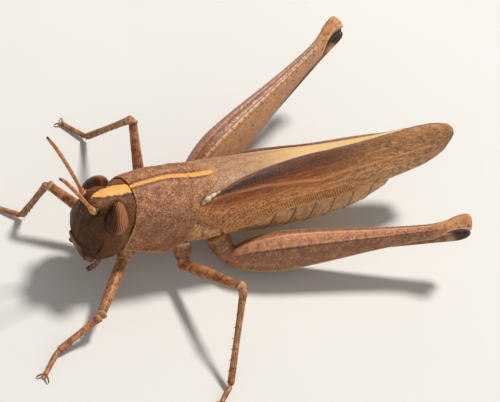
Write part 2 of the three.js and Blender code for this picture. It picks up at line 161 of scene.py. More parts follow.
def on_side(path, side):
    """A path given for the right side, taken to the side of -1 or 1."""
    return [(x, side * y, z) for x, y, z in path]


def drawn(points, lines, side):
    """Strength at each point of lines of (path, strength, width), given for the right side."""
    return sum(strength * bump(distance_to(points, on_side(path, side)), width)
               for path, strength, width in lines)


def ripple(points, size, seed):
    """Smooth unevenness from -1 to 1 with bumps about size across."""
    waves = 6
    total = np.zeros(len(points))
    dice = random.Random(seed)
    for _ in range(waves):
        direction = np.array([dice.gauss(0, 1) for _ in range(3)])
        total += np.sin(points @ direction * (2 / size) + dice.uniform(0, 6.28))
    return total / waves


def squared(value, power):
    """A sine or cosine bent towards a squarer oval."""
    return np.sign(value) * np.abs(value) ** (2 / power)


def degrees(turn):
    """The direction around a limb, from -180 to 180: 0 faces out, 90 up and -90 down."""
    return (turn * 360 + 180) % 360 - 180


def apart(angle, at):
    """Degrees between two directions around a limb."""
    return np.abs((angle - at + 180) % 360 - 180)


# ---------------------------------------------------------------- skins

UNMARKED = Vector((0, 0, 0, 0))
CLOSING = 0.02
CROWDED_STEPS = 5
LIMB_SQUARENESS = 2.1
THORN_SIDES = 8
THORN_TIP = 0.12
MERGE_DISTANCE = 1e-4


class Skin:
    """A mesh in the making: its points in mm, with run and turn shares, marks and places."""

    def __init__(self):
        """Starts with an empty mesh that can hold the shares, marks and places."""
        self.bm = bmesh.new()
        layers = self.bm.verts.layers
        self.run_layer = layers.float.new("run")
        self.turn_layer = layers.float.new("turn")
        self.marks_layer = layers.float_color.new("marks")
        self.place_layer = layers.float_vector.new("place")
        self.run = self.turn = self.points = None

    def read(self):
        """Takes run, turn and points as arrays, in the order of the mesh's points."""
        verts = self.bm.verts
        self.run = np.array([v[self.run_layer] for v in verts])
        self.turn = np.array([v[self.turn_layer] for v in verts])
        self.points = np.array([v.co for v in verts])

    def move(self, points):
        """Puts every point of the mesh at its new place."""
        self.points = points
        for vert, point in zip(self.bm.verts, points):
            vert.co = point

    def push(self, heights):
        """Moves every point out along its normal."""
        self.bm.normal_update()
        normals = np.array([v.normal for v in self.bm.verts])
        self.move(self.points + normals * np.asarray(heights)[:, None])

    def mark(self, dark=0, pale=0, accent=0, other=0):
        """Sets the masks from 0 to 1 that the material paints with."""
        count = len(self.bm.verts)
        masks = [np.broadcast_to(np.clip(mask, 0, 1), count) for mask in (dark, pale, accent, other)]
        for vert, values in zip(self.bm.verts, np.stack(masks, 1)):
            vert[self.marks_layer] = Vector(values)

    def lay_out(self, along, around):
        """Stores where each point is on the skin, in mm along it and around it."""
        for vert, a, b in zip(self.bm.verts, along, around):
            vert[self.place_layer] = (a, b, 0)

    def thicken(self, thickness):
        """Gives an open sheet a wall on its inner side."""
        bm = self.bm
        bmesh.ops.recalc_face_normals(bm, faces=bm.faces)
        bm.normal_update()
        made = bmesh.ops.extrude_face_region(bm, geom=bm.faces[:], use_keep_orig=True)["geom"]
        inner = [item for item in made if isinstance(item, bmesh.types.BMVert)]
        shifts = [(vert, vert.co - vert.normal * thickness) for vert in inner]
        for vert, place in shifts:
            vert.co = place

    def take_in(self, other):
        """Adds another skin's mesh to this one."""
        carrier = bpy.data.meshes.new("carrier")
        other.bm.to_mesh(carrier)
        other.bm.free()
        self.bm.from_mesh(carrier)
        bpy.data.meshes.remove(carrier)


def tube(sides, runs, point_at):
    """A closed skin drawn out ring by ring from a circle; point_at(run, turn) gives its points."""
    skin = Skin()
    bm = skin.bm

    def note_place(verts, run):
        """Stores how far along and around the skin a ring's points are."""
        for vert in verts:
            vert[skin.turn_layer] = math.atan2(vert.co.y, vert.co.x) / math.tau % 1
            vert[skin.run_layer] = run

    ring = bmesh.ops.create_circle(bm, segments=sides, radius=1)["verts"]
    for vert in ring:
        vert[skin.marks_layer] = UNMARKED
    note_place(ring, runs[0])
    edges = list(bm.edges)
    for run in runs[1:]:
        made = bmesh.ops.extrude_edge_only(bm, edges=edges)["geom"]
        verts = {item for item in made if isinstance(item, bmesh.types.BMVert)}
        edges = [item for item in made if isinstance(item, bmesh.types.BMEdge)
                 and item.verts[0] in verts and item.verts[1] in verts]
        note_place(verts, run)
    bmesh.ops.holes_fill(bm, edges=[edge for edge in bm.edges if edge.is_boundary], sides=0)
    skin.read()
    skin.move(point_at(skin.run, skin.turn))
    return skin


def sheet(cells_around, cells_along, point_at):
    """An open skin from a grid; point_at(run, turn) gives its points."""
    skin = Skin()
    bmesh.ops.create_grid(skin.bm, x_segments=cells_around, y_segments=cells_along, size=0.5)
    for vert in skin.bm.verts:
        vert[skin.turn_layer] = vert.co.x + 0.5
        vert[skin.run_layer] = vert.co.y + 0.5
        vert[skin.marks_layer] = UNMARKED
    skin.read()
    skin.move(point_at(skin.run, skin.turn))
    return skin


def even(steps):
    """Shares from 0 to 1 in equal steps."""
    return [k / steps for k in range(steps + 1)]


def rounded(steps):
    """Shares from 0 to 1 that crowd at both ends, where a skin closes."""
    crowd = [CLOSING * (k / CROWDED_STEPS) ** 2 for k in range(CROWDED_STEPS)]
    middle = [mix(CLOSING, 1 - CLOSING, share) for share in even(steps)]
    return crowd + middle + [1 - share for share in reversed(crowd)]


def close_ends(run, reach=CLOSING):
    """1 along a skin, falling in a quarter circle to 0 at both ends."""
    nearest = np.minimum(run, 1 - run) / reach
    return np.sqrt(np.clip(1 - (1 - np.clip(nearest, 0, 1)) ** 2, 0, 1))


def limb(path, profile, sides, steps, *, reach, flatten=1.0, lean=0.0, side=1, rib=None):
    """A closed limb around a path. turn 0 faces away from the body and 0.25 faces up.

    profile holds (share of the length, radius) stations, reach is the share of the length over
    which each end closes, flatten is width over height and lean turns the limb about its length.
    rib takes run and the direction in degrees and gives the share by which the skin stands out.
    """
    length = sum(math.dist(a, b) for a, b in zip(path[:-1], path[1:]))

    def point_at(run, turn):
        """Points of the limb's skin."""
        centre, ahead = route(path, run)
        up = np.array([0, math.sin(lean), math.cos(lean)])
        aside = unit(np.cross(up, ahead))
        top = np.cross(ahead, aside)
        radius = curve(profile, run) * close_ends(run, reach)
        if rib:
            radius = radius * (1 + rib(run, degrees(turn)))
        out = squared(np.cos(turn * math.tau), LIMB_SQUARENESS) * radius * flatten * side
        high = squared(np.sin(turn * math.tau), LIMB_SQUARENESS) * radius
        return centre + aside * out[:, None] + top * high[:, None]

    skin = tube(sides, rounded(steps), point_at)
    girth = math.tau * max(radius for _, radius in profile)
    skin.lay_out(skin.run * length, skin.turn * girth)
    return skin


def spine(skin, root, tip, radius, dark_tip):
    """A solid thorn from root to tip, added to a skin; its outer share is dark."""
    root, tip = Vector(root), Vector(tip)
    turned = (tip - root).to_track_quat("Z", "Y").to_matrix().to_4x4()
    place = Matrix.Translation((root + tip) / 2) @ turned
    made = bmesh.ops.create_cone(skin.bm, cap_ends=True, cap_tris=True, segments=THORN_SIDES,
                                 radius1=radius, radius2=radius * THORN_TIP,
                                 depth=(tip - root).length, matrix=place)
    for vert in made["verts"]:
        if (vert.co - tip).length < (vert.co - root).length:
            vert[skin.marks_layer] = Vector((dark_tip, 0, 0, 0))


def pearl(skin, centre, half, *, dark=0, pale=0, segments=20):
    """A solid rounded knob added to a skin, with its centre, its half sizes and its marks."""
    place = Matrix.Translation(centre) @ Matrix.Diagonal((*half, 1))
    made = bmesh.ops.create_uvsphere(skin.bm, u_segments=segments, v_segments=segments // 2,
                                     radius=1, matrix=place)
    for vert in made["verts"]:
        vert[skin.marks_layer] = Vector((dark, pale, 0, 0))


def settle(skin, name, material, slot, *nodes):
    """Finishes a skin: closed, facing out, in the row's frame in metres and riding on its body."""
    bm = skin.bm
    bmesh.ops.remove_doubles(bm, verts=bm.verts, dist=MERGE_DISTANCE)
    bmesh.ops.recalc_face_normals(bm, faces=bm.faces)
    bmesh.ops.transform(bm, matrix=Matrix.Scale(MM, 4) @ Matrix.Translation(ORIGIN), verts=bm.verts)
    mesh = bpy.data.meshes.new(name)
    for face in bm.faces:
        face.smooth = True
    bm.to_mesh(mesh)
    bm.free()
    mesh.materials.append(material)
    piece = bpy.data.objects.new(name, mesh)
    bpy.context.collection.objects.link(piece)
    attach(piece, "root")
    if nodes:
        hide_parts(*nodes)


# ---------------------------------------------------------------- shader helpers

SOCKETS = {"Vector": "NodeSocketVector", "Color": "NodeSocketColor", "Float": "NodeSocketFloat"}
# A colour Mix node's sockets for the mask, the colour under it and the colour over it.
MIX_INPUTS = (0, 6, 7)
MIX_RESULT = 2
CLOUD_EDGE = (0.36, 0.66)
RAGGED_EDGE = (0.42, 0.58)
SPECK_STRENGTH = 0.6
DOT_STRENGTH = 0.75
ACCENT_LIFT = 1.35
ACCENT_CLOUD = 3.2
# The belly's tint comes in from 9 mm above the floor down to 4 mm, up to a strength of 0.55.
BELLY_FADE = (9.0, 4.0, 0.0, 0.55)
KNOBS = 0.8
GRAIN_HEIGHTS = (0.0, 0.6)
GRAIN_ROUGHNESS = (0.12, -0.08)
SHELL_RELIEF_REACH = 0.00004
SHELL_COAT_ROUGHNESS = 0.25
PLAIN_COAT_ROUGHNESS = 0.03


def feed(tree, value, socket):
    """Links another node's output to a socket, or sets the socket's own value."""
    if isinstance(value, bpy.types.NodeSocket):
        tree.links.new(value, socket)
    else:
        socket.default_value = value


def node(tree, kind, settings=None, **inputs):
    """A shader node with its settings and inputs; an input's label has _ for a space."""
    made = tree.nodes.new(kind)
    for key, value in (settings or {}).items():
        setattr(made, key, value)
    for key, value in inputs.items():
        feed(tree, value, made.inputs[key.replace("_", " ")])
    return made


def calc(tree, operation, *values):
    """The result of a Math node."""
    made = node(tree, "ShaderNodeMath", {"operation": operation})
    for socket, value in zip(made.inputs, values):
        feed(tree, value, socket)
    return made.outputs[0]


def times(tree, value, *factors):
    """A value multiplied by each factor in turn."""
    for factor in factors:
        value = calc(tree, "MULTIPLY", value, factor)
    return value


def blend(tree, mask, under, over):
    """Colour over another colour where the mask says."""
    made = node(tree, "ShaderNodeMix", {"data_type": "RGBA"})
    for index, value in zip(MIX_INPUTS, (mask, under, over)):
        feed(tree, value, made.inputs[index])
    return made.outputs[MIX_RESULT]


def ramp(tree, value, low, high, start=0.0, end=1.0):
    """A value taken smoothly from low..high to start..end."""
    made = node(tree, "ShaderNodeMapRange", {"interpolation_type": "SMOOTHSTEP"}, Value=value,
                From_Min=low, From_Max=high, To_Min=start, To_Max=end)
    return made.outputs["Result"]


def stretched(tree, place, scale):
    """The place on a skin with its axes scaled, so that a pattern runs long or short there."""
    return node(tree, "ShaderNodeMapping", Vector=place, Scale=scale).outputs[0]


def effect(name, inputs, output, build):
    """A shared node group; inputs hold (label, kind, default) and build wires up the output."""
    group = bpy.data.node_groups.new(name, "ShaderNodeTree")
    for label, kind, default in inputs:
        socket = group.interface.new_socket(name=label, in_out="INPUT", socket_type=SOCKETS[kind])
        if default is not None:
            socket.default_value = default
    label, kind = output
    group.interface.new_socket(name=label, in_out="OUTPUT", socket_type=SOCKETS[kind])
    start = group.nodes.new("NodeGroupInput")
    end = group.nodes.new("NodeGroupOutput")
    group.links.new(build(group, start.outputs), end.inputs[0])
    return group


def mottle_effect():
    """Two colours blended by uneven clouds, as in a shell's pigment."""
    def build(tree, given):
        """Wires up the clouds between the two colours."""
        clouds = node(tree, "ShaderNodeTexNoise", Vector=given["Vector"], Scale=given["Scale"],
                      Detail=5.0, Roughness=0.68)
        mask = ramp(tree, clouds.outputs["Fac"], *CLOUD_EDGE)
        return blend(tree, mask, given["Dark"], given["Pale"])
    inputs = [("Vector", "Vector", None), ("Scale", "Float", 2.0), ("Dark", "Color", None),
              ("Pale", "Color", None)]
    return effect("Mottle", inputs, ("Color", "Color"), build)


def specks_effect():
    """Scattered small dots: Size is their radius and Share how many cells hold one."""
    def build(tree, given):
        """Wires up the dots, each in a cell that is drawn or left out by its random colour."""
        cells = node(tree, "ShaderNodeTexVoronoi", Vector=given["Vector"], Scale=given["Scale"])
        distance = cells.outputs["Distance"]
        inside = calc(tree, "LESS_THAN", distance, given["Size"])
        near = ramp(tree, distance, given["Size"], times(tree, given["Size"], 0.5))
        lot = node(tree, "ShaderNodeSeparateColor", Color=cells.outputs["Color"]).outputs["Red"]
        chosen = calc(tree, "LESS_THAN", lot, given["Share"])
        return times(tree, inside, near, chosen)
    inputs = [("Vector", "Vector", None), ("Scale", "Float", 4.0), ("Size", "Float", 0.3),
              ("Share", "Float", 1.0)]
    return effect("Specks", inputs, ("Mask", "Float"), build)


def grain_effect():
    """Pebbly height of a shell: fine knobs over soft unevenness."""
    def build(tree, given):
        """Wires up the knobs and the unevenness under them."""
        knobs = node(tree, "ShaderNodeTexVoronoi", {"feature": "SMOOTH_F1"}, Vector=given["Vector"],
                     Scale=given["Scale"], Smoothness=0.6)
        soft = node(tree, "ShaderNodeTexNoise", Vector=given["Vector"], Scale=given["Scale"], Detail=4.0)
        pits = times(tree, knobs.outputs["Distance"], given["Knobs"])
        return calc(tree, "SUBTRACT", soft.outputs["Fac"], pits)
    inputs = [("Vector", "Vector", None), ("Scale", "Float", 8.0), ("Knobs", "Float", 0.8)]
    return effect("Grain", inputs, ("Height", "Float"), build)


def ragged_effect():
    """A soft mask cut to a crisp but uneven edge."""
    def build(tree, given):
        """Wires up the unevenness that shifts the mask before it is cut."""
        rough = node(tree, "ShaderNodeTexNoise", Vector=given["Vector"], Scale=given["Scale"], Detail=4.0)
        shift = times(tree, calc(tree, "SUBTRACT", rough.outputs["Fac"], 0.5), given["Raggedness"])
        return ramp(tree, calc(tree, "ADD", given["Mask"], shift), *RAGGED_EDGE)
    inputs = [("Vector", "Vector", None), ("Mask", "Float", 0.0), ("Scale", "Float", 5.0),
              ("Raggedness", "Float", 0.5)]
    return effect("Ragged edge", inputs, ("Mask", "Float"), build)


EFFECTS = {"Mottle": mottle_effect, "Specks": specks_effect, "Grain": grain_effect,
           "Ragged edge": ragged_effect}


def use(tree, name, **inputs):
    """A shared effect placed in a material with its own values."""
    group = bpy.data.node_groups.get(name) or EFFECTS[name]()
    return node(tree, "ShaderNodeGroup", {"node_tree": group}, **inputs).outputs[0]


def mottle(tree, place, scale, dark, pale):
    """Clouds of two colours."""
    return use(tree, "Mottle", Vector=place, Scale=scale, Dark=dark, Pale=pale)


def specks(tree, place, cells, radius, share):
    """Dots, with the number of cells in a mm, the radius and the share of cells that hold one."""
    return use(tree, "Specks", Vector=place, Scale=cells, Size=radius, Share=share)


def start_material(name):
    """A material with its tree, its shader and the point in the animal's frame in millimetres."""
    material = bpy.data.materials.new(name)
    material.use_nodes = True
    tree = material.node_tree
    shader = tree.nodes["Principled BSDF"]
    place = node(tree, "ShaderNodeTexCoord").outputs["Object"]
    in_mm = node(tree, "ShaderNodeMapping", Vector=place, Location=-ORIGIN, Scale=(1 / MM,) * 3)
    return material, tree, shader, in_mm.outputs[0]


def finish_shader(tree, shader, colour, roughness, height, *, relief, reach=SHELL_RELIEF_REACH, gloss,
                  coat=0.0, coat_roughness=PLAIN_COAT_ROUGHNESS):
    """Gives a shader its colour, roughness, fine relief, gloss and coat."""
    tree.links.new(colour, shader.inputs["Base Color"])
    tree.links.new(roughness, shader.inputs["Roughness"])
    bumped = node(tree, "ShaderNodeBump", Height=height, Strength=relief, Distance=reach)
    tree.links.new(bumped.outputs[0], shader.inputs["Normal"])
    shader.inputs["Specular IOR Level"].default_value = gloss
    shader.inputs["Coat Weight"].default_value = coat
    shader.inputs["Coat Roughness"].default_value = coat_roughness


def marks_of(tree):
    """The masks painted on a piece: dark, pale, accent and other."""
    painted = node(tree, "ShaderNodeAttribute", {"attribute_name": "marks"})
    parts = node(tree, "ShaderNodeSeparateColor", Color=painted.outputs["Color"])
    return (*parts.outputs, painted.outputs["Alpha"])


def place_of(tree):
    """The point on a piece's own skin: mm along it and mm around it."""
    return node(tree, "ShaderNodeAttribute", {"attribute_name": "place"}).outputs["Vector"]


def cuticle(name, base, shade, light, *, dark, pale, accent, roughness=0.5, cloud=1.3,
            light_specks=(3.6, 0.3, 0.4), dark_dots=(3.2, 0.2, 0.35), grain=7.0, relief=0.5,
            coat=0.0, gloss=0.2, ragged=(6.0, 0.6), low=None):
    """Insect shell: clouds of base and shade, light specks, dark dots and marks over a fine grain.

    dark, pale and accent are the colours of the masks; the accent has lighter clouds in it and a
    ragged edge of (scale, depth). cloud and grain are scales, light_specks and dark_dots are
    (cells in a mm, radius, share of the cells), relief is the strength of the grain and low a
    tint that comes in towards the belly.
    """
    material, tree, shader, point = start_material(name)
    darkness, paleness, accented, _ = marks_of(tree)
    colour = mottle(tree, point, cloud, shade, base)
    if low:
        height = node(tree, "ShaderNodeSeparateXYZ", Vector=point).outputs["Z"]
        colour = blend(tree, ramp(tree, height, *BELLY_FADE), colour, low)
    colour = blend(tree, times(tree, specks(tree, point, *light_specks), SPECK_STRENGTH), colour, light)
    colour = blend(tree, times(tree, specks(tree, point, *dark_dots), DOT_STRENGTH), colour, dark)
    edge = use(tree, "Ragged edge", Vector=point, Mask=accented, Scale=ragged[0], Raggedness=ragged[1])
    lifted = tuple(min(part * ACCENT_LIFT, 1.0) for part in accent)
    colour = blend(tree, edge, colour, mottle(tree, point, ACCENT_CLOUD, accent, lifted))
    colour = blend(tree, paleness, colour, pale)
    colour = blend(tree, darkness, colour, dark)
    pebbles = use(tree, "Grain", Vector=point, Scale=grain, Knobs=KNOBS)
    dullness = ramp(tree, pebbles, *GRAIN_HEIGHTS, *(roughness + change for change in GRAIN_ROUGHNESS))
    finish_shader(tree, shader, colour, dullness, pebbles, relief=relief, gloss=gloss, coat=coat,
                  coat_roughness=SHELL_COAT_ROUGHNESS)
    return material


# ---------------------------------------------------------------- trunk

TRUNK_HALF_WIDTH = ((0, 2.35), (5, 2.9), (8, 3.15), (11, 3.05), (13.4, 2.95), (17, 2.9), (21, 2.8),
                    (25, 2.5), (28, 2.05), (31.5, 0.9))
TRUNK_TOP = ((0, 9.4), (5, 9.6), (9, 9.7), (13.4, 9.2), (17, 8.7), (21, 8.3), (25, 7.9), (28, 7.4),
             (31.5, 6.6))
TRUNK_BOTTOM = ((0, 3.7), (5, 3.05), (8, 2.9), (11, 2.85), (13.4, 2.7), (17, 2.5), (21, 2.45),
                (25, 2.8), (28, 3.9), (31.5, 5.4))
TRUNK_SQUARENESS = 2.4

PROTHORAX = (0.6, 5.6)
COLLAR = ((2.6, -2.6, 4.4), (2.4, 0, 3.4), (2.6, 2.6, 4.4))
PROTHORAX_FOLD_X = 4.3
THROAT_THORN = {"centre": (1.9, 0, 2.95), "half": (0.24, 0.24, 0.75)}

THORAX = (5.0, 13.4)
THORAX_SEAMS = (
    (((5.6, 0, 7.6), (6.0, 0, 6.6), (6.3, 0, 5.6), (6.9, 0, 4.2)), 1.0),
    (((7.3, 0, 6.9), (7.95, 0, 5.6), (8.8, 0, 3.9)), 0.6),
    (((8.9, 0, 7.6), (9.5, 0, 6.6), (10.1, 0, 5.4), (11.2, 0, 3.9)), 1.0),
    (((11.2, 0, 3.9), (11.9, 0, 3.5), (12.8, 0, 3.3)), 0.8),
    (((11.6, 0, 7.4), (11.9, 0, 6.0), (12.6, 0, 4.6)), 0.7),
)
WING_SHADE = ((6.6, 0, 7.6), (8, 0, 6.75), (9.5, 0, 6.05), (11.5, 0, 5.8), (13.5, 0, 6.0))
PALE_PLATE = ((11.2, -3.0, 6.2), (12.6, -3.0, 5.0))
BREAST_SEAMS_X = (8.1, 11.9)
# Points times this are seen from the side, so a path drawn there holds for both flanks.
SIDE_VIEW = (1, 0, 1)

ABDOMEN_START = THORAX[1] + 0.05
ABDOMEN_END = 31.8
ABDOMEN_SEGMENTS = 8
RING_LENGTH = (ABDOMEN_END - ABDOMEN_START) / ABDOMEN_SEGMENTS
RING_TUCKED = 0.12
RING_OVERLAP = 0.22
ABDOMEN_TIP_Z = 5.9
FOLD_HEIGHT = 0.27
RIM_RUN = 0.93
SPOT = {"run": 0.86, "height": 0.6, "out": 0.97, "strength": 1.2, "radius": 0.16}
BREATHING_HOLE = {"run": 0.3, "height": 0.36, "out": 1.0, "strength": 1.0, "radius": 0.13}
TIP_PLATES = (
    (((30.4, 0, 6.5), (31.4, 0, 6.5), (32.1, 0, 6.2)), ((0, 0.5), (0.5, 0.55), (1, 0.25)), 1.3),
    (((30.2, 0, 5.4), (31.3, 0, 5.3), (32.3, 0, 5.9)), ((0, 0.6), (0.5, 0.62), (1, 0.2)), 1.2),
)
CERCUS = ((30.9, 0.55, 6.1), (31.5, 0.75, 6.1), (32.1, 0.7, 6.0))
CERCUS_PROFILE = ((0, 0.22), (0.5, 0.24), (1, 0.12))


def trunk_surface(x, turn, swell=0.0):
    """The round body under the wings: turn 0 is the right side and 0.25 the back."""
    top = curve(TRUNK_TOP, x) + swell
    bottom = curve(TRUNK_BOTTOM, x) - swell
    angle = turn * math.tau
    y = squared(np.cos(angle), TRUNK_SQUARENESS) * (curve(TRUNK_HALF_WIDTH, x) + swell)
    z = (top + bottom) / 2 + squared(np.sin(angle), TRUNK_SQUARENESS) * (top - bottom) / 2
    return np.stack([x, y, z], 1)


def make_prothorax(material):
    """The body inside the saddle, with the thorn between the front legs."""
    def surface(run, turn):
        """Points of the body, a little inside the trunk's line and closed at both ends."""
        return trunk_surface(mix(*PROTHORAX, run), turn, -0.28 - 0.6 * (1 - close_ends(run, 0.1)))

    skin = tube(72, even(40), surface)
    x, _, z = skin.points.T
    from_fold = x - PROTHORAX_FOLD_X
    skin.push(0.08 * bump(distance_to(skin.points, COLLAR), 0.2) - 0.1 * bump(from_fold, 0.16))
    skin.mark(dark=0.5 * bump(from_fold, 0.2), pale=0.3 * fade(4.6, 3.6, z))
    pearl(skin, THROAT_THORN["centre"], THROAT_THORN["half"])
    settle(skin, "prothorax", material, "thorax_cuticle")


def make_thorax():
    """The plates of the body under the wings, with their seams and the shade under the wings."""
    def surface(run, turn):
        """Points of the thorax, closed at both ends."""
        return trunk_surface(mix(*THORAX, run), turn, -0.5 * (1 - close_ends(run, 0.04)))

    skin = tube(150, rounded(110), surface)
    points = skin.points
    x, y, z = points.T
    from_side = points * SIDE_VIEW
    flank = fade(0.8, 1.6, np.abs(y))
    seams = np.zeros(len(points))
    for path, depth in THORAX_SEAMS:
        seams = np.maximum(seams, depth * bump(distance_to(from_side, path), 0.12) * flank)
    shade = bump(distance_to(from_side, WING_SHADE), 0.25) * flank
    breast = fade(4.2, 3.6, z)
    relief = 0.02 * ripple(points, 0.35, 2) + 0.06 * ripple(points, 1.2, 7) - 0.12 * seams
    relief += 0.09 * fade(0.8, 0.5, np.abs(y)) * breast
    relief -= 0.08 * breast * sum(bump(x - at, 0.14) for at in BREAST_SEAMS_X)
    skin.push(relief)
    plate = bump(distance_to(points, PALE_PLATE), 0.8)
    skin.mark(dark=0.75 * seams + 0.45 * shade + 0.3 * fade(4.2, 3.4, z), pale=0.3 * plate)
    material = cuticle("thorax cuticle", rgb(208, 150, 102), rgb(156, 106, 68), rgb(240, 200, 150),
                       dark=rgb(52, 32, 24), pale=rgb(214, 152, 92), accent=rgb(176, 110, 60),
                       roughness=0.55, light_specks=(3.2, 0.42, 0.6), dark_dots=(2.8, 0.36, 0.6),
                       grain=5.5, relief=0.7)
    settle(skin, "pterothorax", material, "thorax_cuticle", "thorax")


def ring_surface(number):
    """The skin of one abdomen ring; it slips under the ring before it and over the next one."""
    first = ABDOMEN_START + number * RING_LENGTH
    last = number == ABDOMEN_SEGMENTS - 1
    reach = RING_LENGTH if last else RING_LENGTH + RING_OVERLAP

    def surface(run, turn):
        """Points of the ring, wider towards its rear; the last ring closes."""
        swell = -0.22 + 0.26 * fade(0, 0.16, run) + 0.05 * run - 0.25 * fade(0.975, 1.0, run)
        points = trunk_surface(mix(first - RING_TUCKED, first + reach, run), turn, swell)
        if last:
            shrink = np.sqrt(np.clip(1 - fade(0.1, 1.0, run), 0, 1))
            points[:, 1] *= shrink
            points[:, 2] = ABDOMEN_TIP_Z + (points[:, 2] - ABDOMEN_TIP_Z) * shrink
        return points

    return surface


def flank_point(start, width_run, mark):
    """A mark's centre on the right flank of the ring from start, as wide as the ring at width_run."""
    half_width = curve(TRUNK_HALF_WIDTH, start + RING_LENGTH * width_run)
    z = mix(curve(TRUNK_BOTTOM, start), curve(TRUNK_TOP, start), mark["height"])
    return np.array([start + RING_LENGTH * mark["run"], half_width * mark["out"], z])


def make_abdomen():
    """The overlapping rings of the abdomen, each with a side fold, a rim and dark spots."""
    material = cuticle("abdomen cuticle", rgb(212, 172, 126), rgb(176, 134, 94), rgb(232, 200, 156),
                       dark=rgb(34, 22, 18), pale=rgb(212, 182, 138), accent=rgb(112, 74, 50),
                       cloud=1.1, light_specks=(3.4, 0.26, 0.3), dark_dots=(2.8, 0.18, 0.3),
                       grain=6.0, relief=0.4, coat=0.05)
    for number in range(ABDOMEN_SEGMENTS):
        skin = tube(96, even(34), ring_surface(number))
        x, _, z = skin.points.T
        height = (z - curve(TRUNK_BOTTOM, x)) / (curve(TRUNK_TOP, x) - curve(TRUNK_BOTTOM, x))
        fold = bump(height - FOLD_HEIGHT, 0.045)
        rim = bump(skin.run - RIM_RUN, 0.045)
        skin.push(0.02 * ripple(skin.points, 0.4, number) - 0.1 * fold * (1 - rim) + 0.02 * rim
                  - 0.03 * bump(skin.run - 0.8, 0.05))
        start = ABDOMEN_START + number * RING_LENGTH
        spot = flank_point(start, 1.0, SPOT)
        hole = flank_point(start, BREATHING_HOLE["run"], BREATHING_HOLE)
        spots = np.zeros(len(x))
        for side in SIDES.values():
            for centre, mark in ((spot, SPOT), (hole, BREATHING_HOLE)):
                distance = np.linalg.norm(skin.points - centre * (1, side, 1), axis=1)
                spots += mark["strength"] * bump(distance, mark["radius"])
        # rim_joint_shade and the accent on each rim darken the rings' rear margins: the joints' own dark
        # line together with painted shade in the gaps between rings.
        rim_joint_shade = 0 if number == ABDOMEN_SEGMENTS - 1 else 0.45 * fade(0.955, 0.975, skin.run)
        skin.mark(dark=spots + 0.3 * fold + rim_joint_shade, accent=0.8 * rim,
                  pale=0.4 * fade(0.3, 0.15, height) + 0.4 * bump(skin.run - 0.8, 0.07))
        settle(skin, f"abdomen_ring_{number + 1}", material, "abdomen_cuticle", f"abdomen_{number + 1}")
    make_abdomen_tip(material)


def make_abdomen_tip(material):
    """The plates and the two short cerci that close the abdomen."""
    skin, lower = [limb(path, profile, 32, 24, flatten=flatten, reach=0.12)
                   for path, profile, flatten in TIP_PLATES]
    skin.take_in(lower)
    for side in SIDES.values():
        skin.take_in(limb(on_side(CERCUS, side), CERCUS_PROFILE, 20, 20, flatten=0.6, reach=0.1))
    settle(skin, "abdomen_tip", material, "abdomen_cuticle")


# ---------------------------------------------------------------- pronotum

PRONOTUM_CELLS = (190, 130)
PRONOTUM_LENGTH = 10.4
PRONOTUM_SIDE_LENGTH = (6.05, 6.6)
PRONOTUM_POINT_HALF_WIDTH = 2.4
PRONOTUM_HALF_WIDTH = (2.75, 3.3)
PRONOTUM_LOBE_Z = (4.72, 3.85)
PRONOTUM_WIDEST_Z = (6.95, 6.6)
PRONOTUM_TOP_Z = 10.5
PRONOTUM_CREST = ((0, 0), (2, 0.17), (4, 0.25), (5.6, 0.16), (6.9, 0), (8.2, -0.03), (10.4, 0))
PRONOTUM_WALL = 0.13
BACK_SHARE = 0.6
LOBE_CUT = 2.1
MIDLINE = ((0, 0.07), (2, 0.12), (4, 0.17), (6, 0.07), (8, -0.02), (10.5, 0.06))
SULCI = ((2.6, 0.35), (4.1, 0.5), (6.0, 1.0))
STRIPE_HALF = ((0, 0.15), (1.2, 0.19), (3.4, 0.21), (5.5, 0.24), (7.6, 0.27), (8.7, 0.2), (9.3, 0.0))
SULCUS_SHADE = 0.2625
FAR_FROM_KEEL = 3


def pronotum_rear(height, y):
    """Rear margin of the saddle: slanting side lobes and a point on the back."""
    side = mix(*PRONOTUM_SIDE_LENGTH, height) - LOBE_CUT * (1 - fade(-0.05, 0.3, height)) ** 2
    inward = np.clip(1 - np.abs(y) / PRONOTUM_POINT_HALF_WIDTH, 0, 1)
    point = mix(side, PRONOTUM_LENGTH, inward * (1 - 0.25 * bump(inward - 1, 0.2)))
    return mix(side, point, fade(0.5, 0.75, height))


def pronotum_surface(run, turn):
    """The saddle from the left lobe's edge over the back to the right lobe's edge."""
    half_width = mix(*PRONOTUM_HALF_WIDTH, run**0.7)
    low = mix(*PRONOTUM_LOBE_Z, run)
    widest = mix(*PRONOTUM_WIDEST_Z, run)
    top = PRONOTUM_TOP_Z + curve(PRONOTUM_CREST, run * PRONOTUM_LENGTH)
    aside = 2 * turn - 1
    hanging = fade(0.56, 1.0, np.abs(aside))
    below = np.abs(aside) > BACK_SHARE
    angle = np.clip(np.abs(aside) / BACK_SHARE, 0, 1) * np.pi / 2
    drop = np.clip((np.abs(aside) - BACK_SHARE) / (1 - BACK_SHARE), 0, 1)
    y = np.where(below, half_width * (1 - 0.08 * drop**2), half_width * np.sin(angle) ** 0.86)
    z = np.where(below, mix(widest, low, drop), widest + (top - widest) * np.cos(angle) ** 0.92)
    height = np.clip((z - low) / (top - low), 0, 1)
    front = 0.02 + 0.13 * fade(0.6, 1, height) + 0.12 * hanging**6
    x = mix(front, pronotum_rear(height, y), run)
    centre = curve(MIDLINE, x) * fade(widest, top, z)
    return np.stack([x, np.sign(aside) * y + centre, z], 1)


